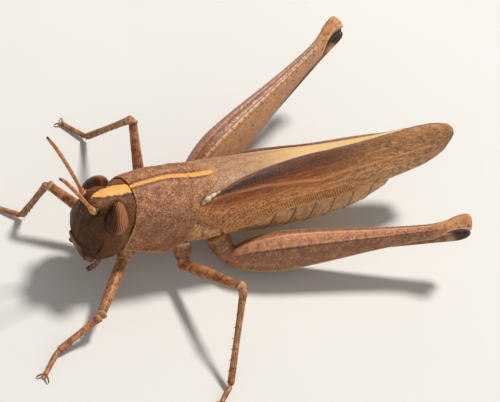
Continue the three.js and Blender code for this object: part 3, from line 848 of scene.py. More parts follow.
def make_pronotum(sizes, colours):
    """The saddle with its keel, three cross grooves, granules, rims and the stripe down its back."""
    skin = sheet(*PRONOTUM_CELLS, pronotum_surface)
    x, y, z = skin.points.T
    back = fade(9.6, 10.2, z)
    off = np.abs(y - curve(MIDLINE, x)) * back + FAR_FROM_KEEL * (1 - back)
    bend = 0.25 * np.cos(y * 1.1)
    sulci = sum(depth * bump(x - at - bend, 0.09) for at, depth in SULCI) * fade(5.4, 6.6, z)
    rim = np.minimum(np.minimum(skin.run, 1 - skin.run) * 9, np.minimum(skin.turn, 1 - skin.turn) * 17)
    granules = ripple(skin.points, 0.1, 3) + ripple(skin.points, 0.14, 8)
    relief = 0.09 * bump(off, 0.13) * (1 - 0.8 * np.clip(sulci, 0, 1)) - 0.045 * sulci
    relief += 0.05 * bump(rim - 0.12, 0.14)
    relief += sizes.granule_height / MM * granules + 0.03 * ripple(skin.points, 0.9, 5)
    skin.push(relief)
    stripe_half = curve(STRIPE_HALF, x)
    stripe_edge = bump(off - stripe_half - 0.1, 0.14) * fade(9.9, 10.2, z) * (1 - fade(7.5, 9, x))
    stripe = (0.5 + (stripe_half - off) * 2.6) * (1 - fade(8.6, 9.4, x)) * fade(9.7, 10.0, z)
    skin.mark(dark=SULCUS_SHADE * bump(sulci - 1, 0.4) + 0.55 * stripe_edge,
              pale=0.55 * bump(rim, 0.16) * (1 - fade(7.5, 8.6, z)) + 0.35 * fade(7.2, 9.4, x),
              accent=stripe)
    skin.thicken(PRONOTUM_WALL)
    material = cuticle("pronotum cuticle", rgb(172, 120, 86), rgb(130, 86, 64), rgb(222, 172, 126),
                       dark=rgb(62, 36, 30), pale=rgb(204, 156, 106), accent=tuple(colours.stripe),
                       roughness=0.6, cloud=1.5, light_specks=(4.4, 0.36, 0.6),
                       dark_dots=(3.8, 0.36, 0.75), grain=5.5, relief=0.9, ragged=(5.0, 0.7),
                       low=rgb(128, 76, 42))
    settle(skin, "pronotum_saddle", material, "pronotum_cuticle", "pronotum")
    make_prothorax(material)


# ---------------------------------------------------------------- head and eyes

HEAD_FRONT = ((2.95, -2.7), (4, -3.35), (5.4, -3.85), (6.8, -4.1), (8.2, -4.15), (9.2, -4.05),
              (9.9, -3.9), (10.4, -2.9))
HEAD_REAR = ((2.95, -0.7), (4, 0.4), (5.4, 1.2), (7, 2.0), (9, 2.2), (9.9, 1.7), (10.4, 0.3))
HEAD_HALF_WIDTH = ((2.95, 1.5), (3.6, 2.2), (4.6, 2.75), (5.8, 2.85), (7, 2.55), (8.2, 2.15),
                   (9.2, 1.8), (9.9, 1.35), (10.4, 0.5))
HEAD_Z = (2.95, 10.4)
HEAD_SQUARENESS = 2.3
HEAD_GROOVES = (
    (((-2.3, 2.5, 7.5), (-2.7, 2.6, 6.2), (-2.75, 2.5, 4.9)), 1.0, 0.1),
    (((-3.3, 1.9, 5.0), (-3.75, 0.8, 4.9), (-3.8, 0, 4.85)), 0.8, 0.1),
    (((-0.4, 2.5, 8.6), (-0.1, 2.9, 6.6), (-0.6, 2.7, 4.2)), 0.6, 0.12),
)
HEAD_RIDGES = (
    (((-3.5, 1.3, 8.7), (-3.55, 1.75, 7.2), (-3.3, 2.1, 5.1)), 1.0, 0.14),
    (((-3.95, 0.5, 9.5), (-3.4, 1.0, 9.95), (-2.9, 1.2, 10.1)), 0.7, 0.12),
)
FACE_RIDGE_HALF = 0.5
CROWN_STRIPE_Y = 0.06
CROWN_STRIPE_HALF = ((-4.1, -0.1), (-3.6, 0.12), (-3.0, 0.36), (-2.3, 0.46), (-1.6, 0.56), (0.3, 0.5))
SMALL_EYES = (
    {"centre": (-3.62, -1.12, 9.62), "half": (0.13, 0.15, 0.17), "pale": 0.25},
    {"centre": (-3.62, 1.12, 9.62), "half": (0.13, 0.15, 0.17), "pale": 0.25},
    {"centre": (-4.2, 0, 8.3), "half": (0.1, 0.17, 0.17), "pale": 0.15},
)
EYE_CENTRE = (-1.8, 1.95, 9.0)
EYE_HALF = (1.08, 0.85, 1.65)
EYE_LEAN = 0.52
EYE_BAND_RADIANS = 88.0
EYE_FACETS = 22.0
FACET_REACH = 0.00001


def head_surface(run, turn):
    """The head capsule in level slices from the mouth to the crown."""
    z = mix(*HEAD_Z, 0.5 - 0.5 * np.cos(np.pi * run))
    front, rear = curve(HEAD_FRONT, z), curve(HEAD_REAR, z)
    closing = np.sqrt(np.clip(np.minimum(run * 9, (1 - run) * 7), 0, 1))
    out = squared(np.cos(turn * math.tau), HEAD_SQUARENESS) * (rear - front) / 2 * closing
    side = squared(np.sin(turn * math.tau), HEAD_SQUARENESS) * curve(HEAD_HALF_WIDTH, z) * closing
    x = (front + rear) / 2 + out
    return np.stack([x, side * (1 + 0.14 * fade(-1.5, -0.1, x) * fade(7.0, 8.4, z)), z], 1)


def eye_share(points, side):
    """How far out each point is from an eye's centre, with 1 on the eye's oval."""
    lean = Matrix.Rotation(-side * EYE_LEAN, 3, "X")
    local = (points - np.array(EYE_CENTRE) * (1, side, 1)) @ np.array(lean).T
    return np.linalg.norm(local / np.array(EYE_HALF), axis=1)


def make_head(colours):
    """The head capsule with its face ridge, grooves, eye rims, feeler sockets and small eyes."""
    skin = tube(200, even(150), head_surface)
    points = skin.points
    x, y, z = points.T
    face = fade(-2.6, -3.4, x) * fade(4.7, 5.4, z) * (1 - fade(9.5, 9.9, z))
    face_ridge = 0.11 * bump(np.abs(y) - FACE_RIDGE_HALF, 0.13) + 0.05 * fade(0.6, 0.4, np.abs(y))
    relief = 0.02 * ripple(points, 1.1, 4)
    relief += face * (face_ridge - 0.05 * bump(y, 0.22) * fade(8.6, 8.0, z))
    for name, side in SIDES.items():
        share = eye_share(points, side)
        relief += 0.03 * bump(share - 1.14, 0.05) - 0.08 * fade(1.04, 0.9, share)
        from_socket = np.linalg.norm(points - np.array(FEELERS[name][0]), axis=1)
        relief += 0.07 * bump(from_socket - 0.62, 0.13) - 0.12 * fade(0.55, 0.3, from_socket)
    grooves = sum(drawn(points, HEAD_GROOVES, side) for side in SIDES.values())
    ridges = sum(drawn(points, HEAD_RIDGES, side) for side in SIDES.values())
    relief += 0.07 * ridges - 0.07 * grooves
    waves = np.sin((x * 0.8 + z * 0.75) * 26 + 3 * ripple(points, 0.8, 2))
    wrinkles = waves * fade(-1.0, -0.6, x) * fade(5.6, 6.6, z)
    relief += 0.012 * wrinkles * (1 - fade(9.8, 10.1, z)) + 0.012 * ripple(points, 0.2, 9)
    skin.push(relief)
    off = np.abs(y - CROWN_STRIPE_Y)
    half = curve(CROWN_STRIPE_HALF, x)
    stripe_edge = bump(off - half - 0.12, 0.12) * fade(9.8, 10.1, z)
    # face_shade is painted shade that darkens the front of the face below the crown.
    face_shade = fade(-1.4, -3.0, x) * (1 - fade(9.5, 10, z))
    skin.mark(dark=0.7 * grooves + 0.5 * stripe_edge + 0.6 * face_shade,
              pale=0.45 * np.clip(wrinkles, 0, 1) * (1 - fade(9.6, 10.0, z)) + 0.1 * ridges,
              accent=(0.5 + (half - off) * 1.5) * fade(9.45, 9.8, z))
    material = cuticle("head cuticle", rgb(124, 78, 46), rgb(82, 50, 31), rgb(184, 142, 94),
                       dark=rgb(34, 20, 15), pale=rgb(176, 136, 88), accent=tuple(colours.stripe),
                       roughness=0.45, cloud=1.1, light_specks=(3.6, 0.24, 0.4),
                       dark_dots=(4.0, 0.3, 0.6), grain=6.0, relief=0.45, coat=0.03, gloss=0.12,
                       ragged=(3.4, 0.9), low=rgb(104, 62, 30))
    for small_eye in SMALL_EYES:
        pearl(skin, small_eye["centre"], small_eye["half"], pale=small_eye["pale"])
    settle(skin, "head_capsule", material, "head_cuticle", "head")


def eye_material(colours):
    """Glossy compound eye with upright bands that fade towards its dark front."""
    material, tree, shader, point = start_material("banded eye")
    along, rear, _, _ = marks_of(tree)
    wobble = node(tree, "ShaderNodeTexNoise", Vector=point, Scale=0.9, Detail=2.0).outputs["Fac"]
    phase = calc(tree, "ADD", times(tree, along, EYE_BAND_RADIANS), times(tree, wobble, 3.0))
    bands = times(tree, ramp(tree, calc(tree, "SINE", phase), -0.4, 0.5), rear)
    brown = mottle(tree, point, 1.2, rgb(46, 25, 13), rgb(78, 44, 23))
    colour = blend(tree, bands, brown, tuple(colours.eye_band))
    facets = node(tree, "ShaderNodeTexVoronoi", Vector=point, Scale=EYE_FACETS).outputs["Distance"]
    finish_shader(tree, shader, colour, ramp(tree, wobble, 0.3, 0.7, 0.3, 0.4), facets, relief=0.25,
                  reach=FACET_REACH, gloss=0.05, coat=0.25, coat_roughness=0.13)
    return material


def make_eyes(colours):
    """The two compound eyes: leaning egg shapes with marks along and towards the rear."""
    material = eye_material(colours)
    for name, side in SIDES.items():
        skin = Skin()
        bmesh.ops.create_uvsphere(skin.bm, u_segments=72, v_segments=48, radius=1)
        skin.read()
        x, y, z = skin.points.T
        egg = np.stack([x * (0.95 - 0.36 * z), y * (1 - 0.08 * z), z], 1) * np.array(EYE_HALF)
        lean = Matrix.Rotation(side * EYE_LEAN, 3, "X")
        skin.move(egg @ np.array(lean).T + np.array(EYE_CENTRE) * (1, side, 1))
        skin.mark(dark=0.5 + x * 0.45, pale=fade(-0.62, 0.02, x + 0.2 * z) * fade(1.0, 0.8, np.abs(z)))
        settle(skin, f"compound_eye_{name}", material, "eye", f"eye_{name}")


# ---------------------------------------------------------------- feelers

FEELERS = {
    "left": ((-3.65, -0.95, 9.1), (-4.3, -1.0, 9.8), (-6.4, -1.05, 12.2), (-8.4, -1.05, 14.3),
             (-10.1, -2.0, 16.2)),
    "right": ((-3.6, 0.95, 9.1), (-4.2, 1.05, 9.85), (-5.8, 1.6, 12.2), (-7.4, 2.5, 14.3),
              (-9.0, 2.6, 16.2)),
}
SCAPE_LENGTH = 0.75
SCAPE_SUNK = 0.25
SCAPE_PROFILE = ((0, 0.2), (0.25, 0.25), (0.55, 0.3), (0.85, 0.28), (1, 0.2))
LASH_SUNK = 0.05
LASH_PROFILE = ((0, 0.18), (0.03, 0.23), (0.06, 0.16), (0.4, 0.17), (0.85, 0.15), (1, 0.1))
LASH_STEPS_IN_JOINT = 7


def joint_ends(run, joints, width):
    """1 where one joint meets the next along a limb, falling away over the width."""
    share = (run * joints) % 1
    return np.maximum(bump(share, width), bump(share - 1, width))


def make_feelers(sizes):
    """The feelers: on each side a stout base joint and a lash of many small joints."""
    material = cuticle("feeler cuticle", rgb(206, 138, 84), rgb(168, 100, 58), rgb(232, 182, 128),
                       dark=rgb(70, 38, 24), pale=rgb(190, 152, 100), accent=rgb(120, 66, 36),
                       roughness=0.55, cloud=1.6, dark_dots=(5.0, 0.2, 0.15), grain=11.0, relief=0.3)
    joints = sizes.feeler_joints

    def joint_rib(run, _):
        """How far the skin stands out along a joint, with a waist at both ends."""
        share = (run * joints) % 1
        return 0.1 * fade(0.2, 0.9, share) - 0.16 * bump(share - 1, 0.1) - 0.1 * bump(share, 0.1)

    for name in SIDES:
        root, *rest = [Vector(point) for point in FEELERS[name]]
        outward = (rest[0] - root).normalized()
        scape_end = root + outward * SCAPE_LENGTH
        scape = limb((root - outward * SCAPE_SUNK, scape_end), SCAPE_PROFILE, 32, 30, reach=0.08)
        scape.mark(pale=0.7 * fade(0.15, 0.6, scape.run), dark=0.7 * bump(scape.run - 0.12, 0.1))
        settle(scape, f"feeler_base_{name}", material, "feeler", f"antenna_scape_{name}")
        lash = limb((scape_end - outward * LASH_SUNK, *rest[1:]), LASH_PROFILE, 20,
                    joints * LASH_STEPS_IN_JOINT, rib=joint_rib, reach=0.012)
        lash.mark(accent=0.6 * joint_ends(lash.run, joints, 0.12), dark=0.85 * fade(0.93, 1.0, lash.run))
        settle(lash, f"feeler_lash_{name}", material, "feeler", f"antenna_{name}")


# ---------------------------------------------------------------- mouth

LIP_Z = (4.55, 2.45)
LIP_HALF_WIDTH = ((2.45, 0.6), (2.7, 0.95), (3.2, 1.12), (3.9, 1.15), (4.55, 1.0))
LIP_X = ((2.45, -2.35), (3.2, -2.85), (3.9, -3.25), (4.55, -3.5))
LIP_FOLD = 0.42
LIP_SQUARENESS = 2.6
JAW = ((-1.9, 1.15, 3.7), (-2.1, 1.0, 2.9), (-2.15, 0.35, 2.25))
JAW_PROFILE = ((0, 0.5), (0.4, 0.56), (0.75, 0.42), (1, 0.2))
JAW_TEETH = 4
PALPS = (
    (((-1.5, 1.6, 3.7), (-1.6, 1.85, 3.1), (-1.75, 1.8, 2.3), (-2.3, 1.7, 1.75)),
     ((0, 0.22), (0.5, 0.23), (0.85, 0.25), (1, 0.2)), 5),
    (((-1.2, 0.6, 3.3), (-1.3, 0.95, 2.5), (-1.75, 1.0, 1.9)), ((0, 0.18), (0.5, 0.19), (1, 0.17)), 3),
)
BEAD_SWELL = 0.18
BEAD_STEPS = 12


def jointed(path, profile, joints):
    """A limb of bead-like joints of even length."""
    def beads(run, _):
        """How far the skin stands out along a joint."""
        share = (run * joints) % 1
        return BEAD_SWELL * (np.sin(np.pi * share) ** 0.7 - 0.8)

    skin = limb(path, profile, 18, joints * BEAD_STEPS, rib=beads, reach=0.03)
    skin.mark(pale=0.5 * joint_ends(skin.run, joints, 0.1))
    return skin


def lip_surface(run, turn):
    """The upper lip hanging from the face, with a cross fold and a notch in its lower rim."""
    z = mix(*LIP_Z, run)
    half = curve(LIP_HALF_WIDTH, z)
    closing = close_ends(run, 0.1)
    ahead = squared(np.cos(turn * math.tau), LIP_SQUARENESS)
    aside = squared(np.sin(turn * math.tau), LIP_SQUARENESS)
    bulge = 0.3 * closing * (1 - 0.25 * bump(run - LIP_FOLD, 0.05))
    notch = 0.35 * bump(np.sin(turn * math.tau) * half, 0.25) * fade(0.75, 1.0, run)
    return np.stack([curve(LIP_X, z) + ahead * bulge, aside * half * closing, z + notch], 1)


def make_mouth():
    """The upper lip, and on each side a jaw and the two small feelers of the mouth."""
    material = cuticle("mouth cuticle", rgb(132, 90, 60), rgb(84, 54, 36), rgb(186, 150, 110),
                       dark=rgb(24, 14, 12), pale=rgb(196, 160, 116), accent=rgb(150, 90, 50),
                       roughness=0.36, cloud=1.2, light_specks=(4.0, 0.2, 0.2), relief=0.3, coat=0.2)
    lip = tube(64, rounded(50), lip_surface)
    lip.push(0.04 * ripple(lip.points, 0.5, 6))
    lip.mark(dark=0.7 * bump(lip.run - LIP_FOLD, 0.04), pale=0.3 * fade(0.8, 1, lip.run))
    settle(lip, "upper_lip", material, "mouth_cuticle", "labrum")
    for name, side in SIDES.items():
        jaw = limb(on_side(JAW, side), JAW_PROFILE, 32, 36, flatten=0.85, reach=0.1)
        jaw.push(0.05 * np.sin(jaw.turn * math.tau * JAW_TEETH) * fade(0.6, 1, jaw.run))
        jaw.mark(dark=fade(0.55, 0.9, jaw.run))
        settle(jaw, f"jaw_{name}", material, "mouth_cuticle", f"mandible_{name}")
        outer, inner = [jointed(on_side(path, side), profile, joints) for path, profile, joints in PALPS]
        outer.take_in(inner)
        settle(outer, f"mouth_feelers_{name}", material, "mouth_cuticle", f"palp_{name}")


# ---------------------------------------------------------------- fore wings

WING_START = 6.1
WING_CELLS = (120, 400)
EDGE_LENGTH = 31
WING_DRIFT = (0.1, 0.5)
SHOULDER_DROP = 0.25
WING_SHOULDER = ((7, 1.95), (10, 1.85), (13, 1.65), (18, 1.2), (24, 0.75), (30, 0.55), (37.2, 0.45))
WING_LOW_Y = ((7, 3.2), (9, 3.65), (12, 3.8), (15, 3.6), (18, 3.35), (22, 3.1), (28, 2.6), (33, 1.8),
              (36, 1.1), (37.2, 0.65))
WING_LOW_Z = ((6.1, 7.9), (7, 7.7), (8, 7.0), (9.5, 6.35), (11.5, 6.1), (13.5, 6.3), (15.5, 6.85),
              (18, 6.9), (22, 6.55), (27, 6.9), (31, 6.9), (34, 6.9), (35.6, 7.2), (36.6, 7.6),
              (37.2, 7.9))
WING_CREST_Z = ((6.1, 9.6), (7, 9.75), (9, 10.1), (12, 10.35), (34, 10.35), (35.6, 10.15), (36.6, 9.85),
                (37.2, 9.5))
WING_LINES = (0, 0.18, 0.32, 0.52, 0.78, 1)
CLAVAL_LINE = ((6.1, 2.2), (8.8, 2.06), (10.5, 1.6), (12.2, 1.22), (14.3, 0.88), (16.8, 0.57),
               (19.7, 0.34), (22.1, 0.3), (25.8, 0.13), (28.3, -0.1), (31.2, -0.4), (33, -0.78),
               (37.2, -1.3))
RIGHT_CLAVAL_SHIFT = 1.1
STREAK_WIDTH = ((7, 0.15), (8.5, 0.45), (10, 0.95), (13, 1.5), (18, 1.75), (25, 1.7), (30, 0.9),
                (33, 0.4), (37.2, 0.3))
STREAK_FADES = ((13, 19, 0.3), (20, 28, 0.4), (29, 34, 0.15))
LEFT_INNER_EDGE = ((6.1, 0.1), (9, 0.6), (12, 0.9), (16, 0.8), (20, 0.6), (26, 0.36), (31, 0.44),
                   (35, 0.42), (37.2, 0.3))
RIGHT_INNER_EDGE = 0.05
LEFT_LIFT = 0.05
RIGHT_LIFT = -0.14
RIGHT_SHOULDER_CUT = ((6, 0.15), (10, 0.3), (14, 0.45), (20, 0.48), (26, 0.45), (30, 0.35), (37.2, 0.15))
LIGHT_VEIN = ((8.0, 0, 9.2), (8.8, 0, 9.45), (10.7, 0, 9.55), (13.6, 0, 9.5), (17.5, 0, 9.18),
              (20.4, 0, 8.75), (24.5, 0, 8.9), (29.0, 0, 8.95), (34.5, 0, 8.8))
# Each long vein is (turn, strength, x of its end).
LONG_VEINS = ((0.1, 0.6, 12.0), (0.21, 0.7, 14.0), (0.4, 0.5, 36.0), (0.47, 0.7, 36.0),
              (0.6, 0.8, 36.0), (0.66, 0.5, 34.0), (0.74, 0.7, 36.0), (0.83, 0.5, 33.0),
              (0.91, 0.7, 30.0))
BAR_PITCH = 0.28
HINGE = ((6.9, 2.42, 8.95), (7.5, 2.28, 9.4), (8.2, 2.12, 9.68), (8.9, 2.0, 9.84))
HINGE_PROFILE = ((0, 0.1), (0.25, 0.25), (0.6, 0.2), (1, 0.06))
HINGE_WAVES = 22
RIGHT_HINGE_SUNK = 0.35


def wing_drift(x):
    """How far to the right of the body's middle the closed wings lie."""
    return mix(*WING_DRIFT, (x - WING_START) / (WING_TIP - WING_START))


def wing_girth(x):
    """Length of a wing's skin from its inner edge to its lower rim, in mm."""
    return 3.0 + 5.6 * fade(6, 11, x) * (1 - 0.4 * fade(28, 37, x))


def wing_surface(side, run, turn):
    """A closed fore wing: a flat back strip from turn 0 and a side that hangs to turn 1."""
    tip_curve = 0.7 * fade(0.93, 1, run) * np.abs(2 * turn - 1) ** 2.5
    x = mix(WING_START, WING_TIP, run) - tip_curve
    crest, low = curve(WING_CREST_Z, x), curve(WING_LOW_Z, x)
    shoulder, flare = curve(WING_SHOULDER, x), curve(WING_LOW_Y, x)
    if side < 0:
        inner, lift = -curve(LEFT_INNER_EDGE, x), LEFT_LIFT
    else:
        inner, lift = np.full(len(x), RIGHT_INNER_EDGE), RIGHT_LIFT
        shoulder = shoulder - curve(RIGHT_SHOULDER_CUT, x)
    outs = (inner, mix(inner, shoulder, 0.6), shoulder, mix(shoulder, flare, 0.38),
            mix(shoulder, flare, 0.8), flare)
    heights = (crest - 0.08, crest + lift, crest - SHOULDER_DROP + 0.4 * lift, mix(crest, low, 0.28),
               mix(crest, low, 0.62), low)
    y = smooth(WING_LINES, outs, turn)
    z = smooth(WING_LINES, heights, turn)
    return np.stack([x, side * y + wing_drift(x), z], 1)


def long_veins(x, turn):
    """Strength of the veins along a wing, which wander a little and close up towards the tip."""
    wander = 0.012 * np.sin(x * 0.9) + 0.01 * np.sin(x * 0.43 + 1)
    veins = np.zeros(len(x))
    for at, strength, end in LONG_VEINS:
        line = at + wander * (at * 3 % 1) - 0.1 * at * fade(24, 37, x)
        vein = strength * bump((turn - line) * wing_girth(x), 0.085) * (1 - fade(end - 2, end, x))
        veins = np.maximum(veins, vein)
    return veins


def wing_streak(x, from_claval):
    """The dark streak under the claval line, crisp above, soft below and fading to the tip."""
    below = 1 - fade(0.5, 1.25, from_claval / curve(STREAK_WIDTH, x))
    kept = 1 - sum(share * fade(start, end, x) for start, end, share in STREAK_FADES)
    return fade(0.0, 0.12, from_claval) * below * fade(7.4, 8.4, x) * kept


def make_wings(sizes, colours):
    """The two closed fore wings with their veins, cross veins, rims and painted masks."""
    material = wing_material(colours)
    make_hinges()
    for name, side in SIDES.items():
        skin = sheet(*WING_CELLS, partial(wing_surface, side))
        points = skin.points
        turn = skin.turn
        x, y, z = points.T
        from_side = points * SIDE_VIEW
        girth = wing_girth(x)
        fall = np.maximum(curve(WING_CREST_Z, x) - SHOULDER_DROP - z, 0)
        from_claval = side * (y - wing_drift(x)) - curve(CLAVAL_LINE, x) + 0.9 * fall
        if side > 0:
            from_claval -= RIGHT_CLAVAL_SHIFT
        veins = long_veins(x, turn)
        light = bump(distance_to(from_side, LIGHT_VEIN), 0.11) * fade(0.36, 0.42, turn)
        above_rim = (1 - turn) * girth
        ladder = fade(0.08, 0.2, above_rim) * (1 - fade(1.0, 1.35, above_rim))
        ladder *= fade(12.6, 14, x) * (1 - fade(24, 27, x))
        slanting = x + 0.5 * above_rim + 0.12 * ripple(from_side, 1.1, 12)
        bars = fade(0.0, 0.8, np.sin(slanting * math.tau / BAR_PITCH))
        bars *= 0.3 + 0.7 * fade(-0.3, 0.2, ripple(from_side, 0.5, 14))
        edge = np.minimum(above_rim, (1 - skin.run) * EDGE_LENGTH)
        relief = 0.035 * veins + 0.05 * light - 0.03 * ladder * bars - 0.07 * bump(from_claval - 0.06, 0.1)
        relief += 0.04 * bump(edge, 0.14) + 0.015 * ripple(points * (0.35, 1, 1), 0.6, 3)
        relief += 0.01 * ripple(points, 0.22, 5)
        skin.push(relief)
        inner_edge = (0.3 + 0.5 * fade(25, 29, x)) * bump(turn * girth, 0.1)
        # rim_shadow is a painted shadow line along the lower rim of the wing's front lobe.
        rim_shadow = 0.6 * bump(above_rim, 0.07) * (1 - fade(15, 17, x))
        lobe = fade(0.55, 0.7, turn) * (1 - fade(14.5, 16.5, x)) * (1 - fade(0.97, 1.0, turn))
        skin.mark(dark=wing_streak(x, from_claval) + inner_edge + 0.75 * ladder * bars + rim_shadow,
                  pale=0.5 - from_claval * 2.2,
                  accent=0.6 * light + 0.25 * veins * (1 - fade(20, 30, x)) + 0.55 * ladder * (1 - bars)
                  + 0.5 * bump(edge, 0.12),
                  other=lobe)
        skin.lay_out(x, turn * girth)
        skin.thicken(sizes.wing_thickness / MM)
        settle(skin, f"fore_wing_{name}", material, "fore_wing", f"tegmen_{name}")


def make_hinges():
    """The pale ribbed knuckles where the fore wings are hinged."""
    material = cuticle("hinge cuticle", rgb(214, 194, 162), rgb(166, 130, 98), rgb(244, 230, 204),
                       dark=rgb(60, 36, 26), pale=rgb(244, 230, 206), accent=rgb(180, 130, 90),
                       roughness=0.35, cloud=3.0, coat=0.2)

    def waves(run):
        """The ribs across a hinge."""
        return np.sin(run * HINGE_WAVES)

    for name, side in SIDES.items():
        sunk = RIGHT_HINGE_SUNK if side > 0 else 0
        path = [(x, side * (y - sunk / 2) + WING_DRIFT[0], z - sunk) for x, y, z in HINGE]
        skin = limb(path, HINGE_PROFILE, 24, 60, rib=lambda run, _: 0.1 * waves(run), reach=0.06)
        skin.mark(dark=0.4 * fade(0.0, -0.8, waves(skin.run)))
        settle(skin, f"wing_hinge_{name}", material, "thorax_cuticle")


def net(tree, place, scale, width):
    """Lines of a net laid over a skin, with its cells in a mm and the width of the lines."""
    cells = node(tree, "ShaderNodeTexVoronoi", {"feature": "DISTANCE_TO_EDGE"},
                 Vector=stretched(tree, place, scale), Scale=1.0)
    return ramp(tree, cells.outputs["Distance"], width, 0.02)


def wing_side_colour(tree, place, along, clouds, length, veins, lobe, colours):
    """The wing's side: rusty above, light below and mottled to the tip, with spots and veins."""
    far = ramp(tree, length, 19.0, 31.0)
    patch = stretched(tree, place, (0.8, 1.2, 1.0))
    upper = blend(tree, far, mottle(tree, along, 1.6, rgb(106, 54, 26), rgb(140, 76, 40)),
                  mottle(tree, patch, 1.5, rgb(144, 98, 62), rgb(190, 138, 92)))
    lower = blend(tree, far, mottle(tree, along, 1.6, rgb(174, 112, 62), tuple(colours.wing)),
                  mottle(tree, patch, 1.5, rgb(178, 132, 88), rgb(234, 186, 130)))
    around = node(tree, "ShaderNodeSeparateXYZ", Vector=place).outputs["Y"]
    uneven = times(tree, calc(tree, "SUBTRACT", clouds, 0.5), 2.0)
    low_down = ramp(tree, calc(tree, "ADD", around, uneven), 4.2, 7.8)
    colour = blend(tree, calc(tree, "MAXIMUM", low_down, times(tree, lobe, 0.75)), upper, lower)
    fine = mottle(tree, place, 3.4, rgb(124, 82, 54), rgb(208, 160, 108))
    colour = blend(tree, times(tree, far, 0.25), colour, fine)
    blotches = specks(tree, stretched(tree, place, (1.0, 1.6, 1.0)), 1.5, 0.62, 0.75)
    blotched = times(tree, blotches, ramp(tree, length, 17.0, 26.0), 0.55)
    colour = blend(tree, blotched, colour, rgb(108, 74, 50))
    threads = net(tree, place, (2.4, 4.6, 1.0), 0.13)
    colour = blend(tree, times(tree, threads, 0.45), colour, rgb(104, 62, 36))
    freckles = specks(tree, place, 4.4, 0.5, 0.8)
    colour = blend(tree, times(tree, freckles, lobe, 0.85), colour, rgb(74, 46, 30))
    dust = specks(tree, place, 2.6, 0.3, 0.6)
    colour = blend(tree, times(tree, dust, 0.8), colour, rgb(70, 42, 28))
    return blend(tree, times(tree, veins, 0.7), colour, rgb(198, 138, 84))


def wing_back_colour(tree, along, clouds, length, mesh, colours):
    """The strip along the wing's back: brown with a net of veins at its root, sandy behind it."""
    back = mottle(tree, along, 2.0, rgb(140, 104, 78), rgb(172, 132, 100))
    back = blend(tree, ramp(tree, length, 12.0, 20.0), back, tuple(colours.wing_strip))
    back = blend(tree, times(tree, clouds, 0.35), back, rgb(196, 148, 96))
    near_root = times(tree, ramp(tree, length, 20.0, 9.0), 0.75)
    return blend(tree, times(tree, mesh, near_root), back, rgb(130, 90, 64))


def wing_material(colours):
    """Rusty wing with a sandy back strip, a dark streak, light veins and a freckled lobe."""
    material, tree, shader, point = start_material("fore wing")
    dark, strip, veins, lobe = marks_of(tree)
    place = place_of(tree)
    along = stretched(tree, place, (0.45, 1.5, 1.0))
    length = node(tree, "ShaderNodeSeparateXYZ", Vector=point).outputs["X"]
    clouds = node(tree, "ShaderNodeTexNoise", Vector=along, Scale=1.1, Detail=3.0).outputs["Fac"]
    mesh = net(tree, place, (2.2, 4.0, 1.0), 0.1)
    colour = wing_side_colour(tree, place, along, clouds, length, veins, lobe, colours)
    back = wing_back_colour(tree, along, clouds, length, mesh, colours)
    colour = blend(tree, ramp(tree, strip, 0.44, 0.56), colour, back)
    tooth = node(tree, "ShaderNodeTexNoise", Vector=place, Scale=4.5, Detail=4.0).outputs["Fac"]
    streak = times(tree, dark, ramp(tree, tooth, 0.34, 0.56, 0.5, 1.0))
    colour = blend(tree, streak, colour, rgb(54, 36, 33))
    pebbles = use(tree, "Grain", Vector=place, Scale=5.0, Knobs=0.7)
    height = calc(tree, "ADD", times(tree, mesh, 0.6), pebbles)
    finish_shader(tree, shader, colour, ramp(tree, clouds, 0.3, 0.7, 0.42, 0.6), height, relief=0.5,
                  reach=0.00003, gloss=0.24)
    return material


# ---------------------------------------------------------------- parts of every leg

UP = Vector((0, 0, 1))
FOOT_JOINTS = ((0, 0), (0.42, 1), (0.58, 2), (1, 3))
FOOT_PADS = (0.14, 0.3, 0.49, 0.9)
PAD_HALF = (0.2, 0.2, 0.09)
PAD_LOWEST_Z = 0.1
CUSHION_HALF = (0.17, 0.17, 0.11)
CUSHION_AHEAD = 0.14
CUSHION_Z = 0.15
CLAW_TIP_Z = 0.05
CLAW_PROFILE = ((0, 0.11), (0.5, 0.08), (1, 0.03))
# Thorns stand between two shares of a shank's length; out is how far their roots are from its line.
SMALL_THORNS = {"shares": (0.4, 0.95), "out": 0.22, "lean": 0.55, "length": 0.34, "radius": 0.0544,
                "dark": 0.8}
HIND_THORNS = {"shares": (0.22, 0.93), "out": 0.2, "lean": 0.9, "length": 0.72, "radius": 0.11,
               "dark": 0.9}


def four_keels(angle):
    """A wave from -1 to 1 with four crests around a limb."""
    return np.cos(np.radians(angle) * 4)


def thorn_row(skin, start, end, way, count, kind):
    """A row of thorns along a shank from start to end; they stand out to way and lean ahead."""
    ahead = (end - start).normalized()
    for number in range(count):
        share = mix(*kind["shares"], number / (count - 1))
        root = start + (end - start) * share + way * kind["out"]
        tip = root + (way + ahead * kind["lean"]).normalized() * kind["length"]
        spine(skin, root, tip, kind["radius"], kind["dark"])


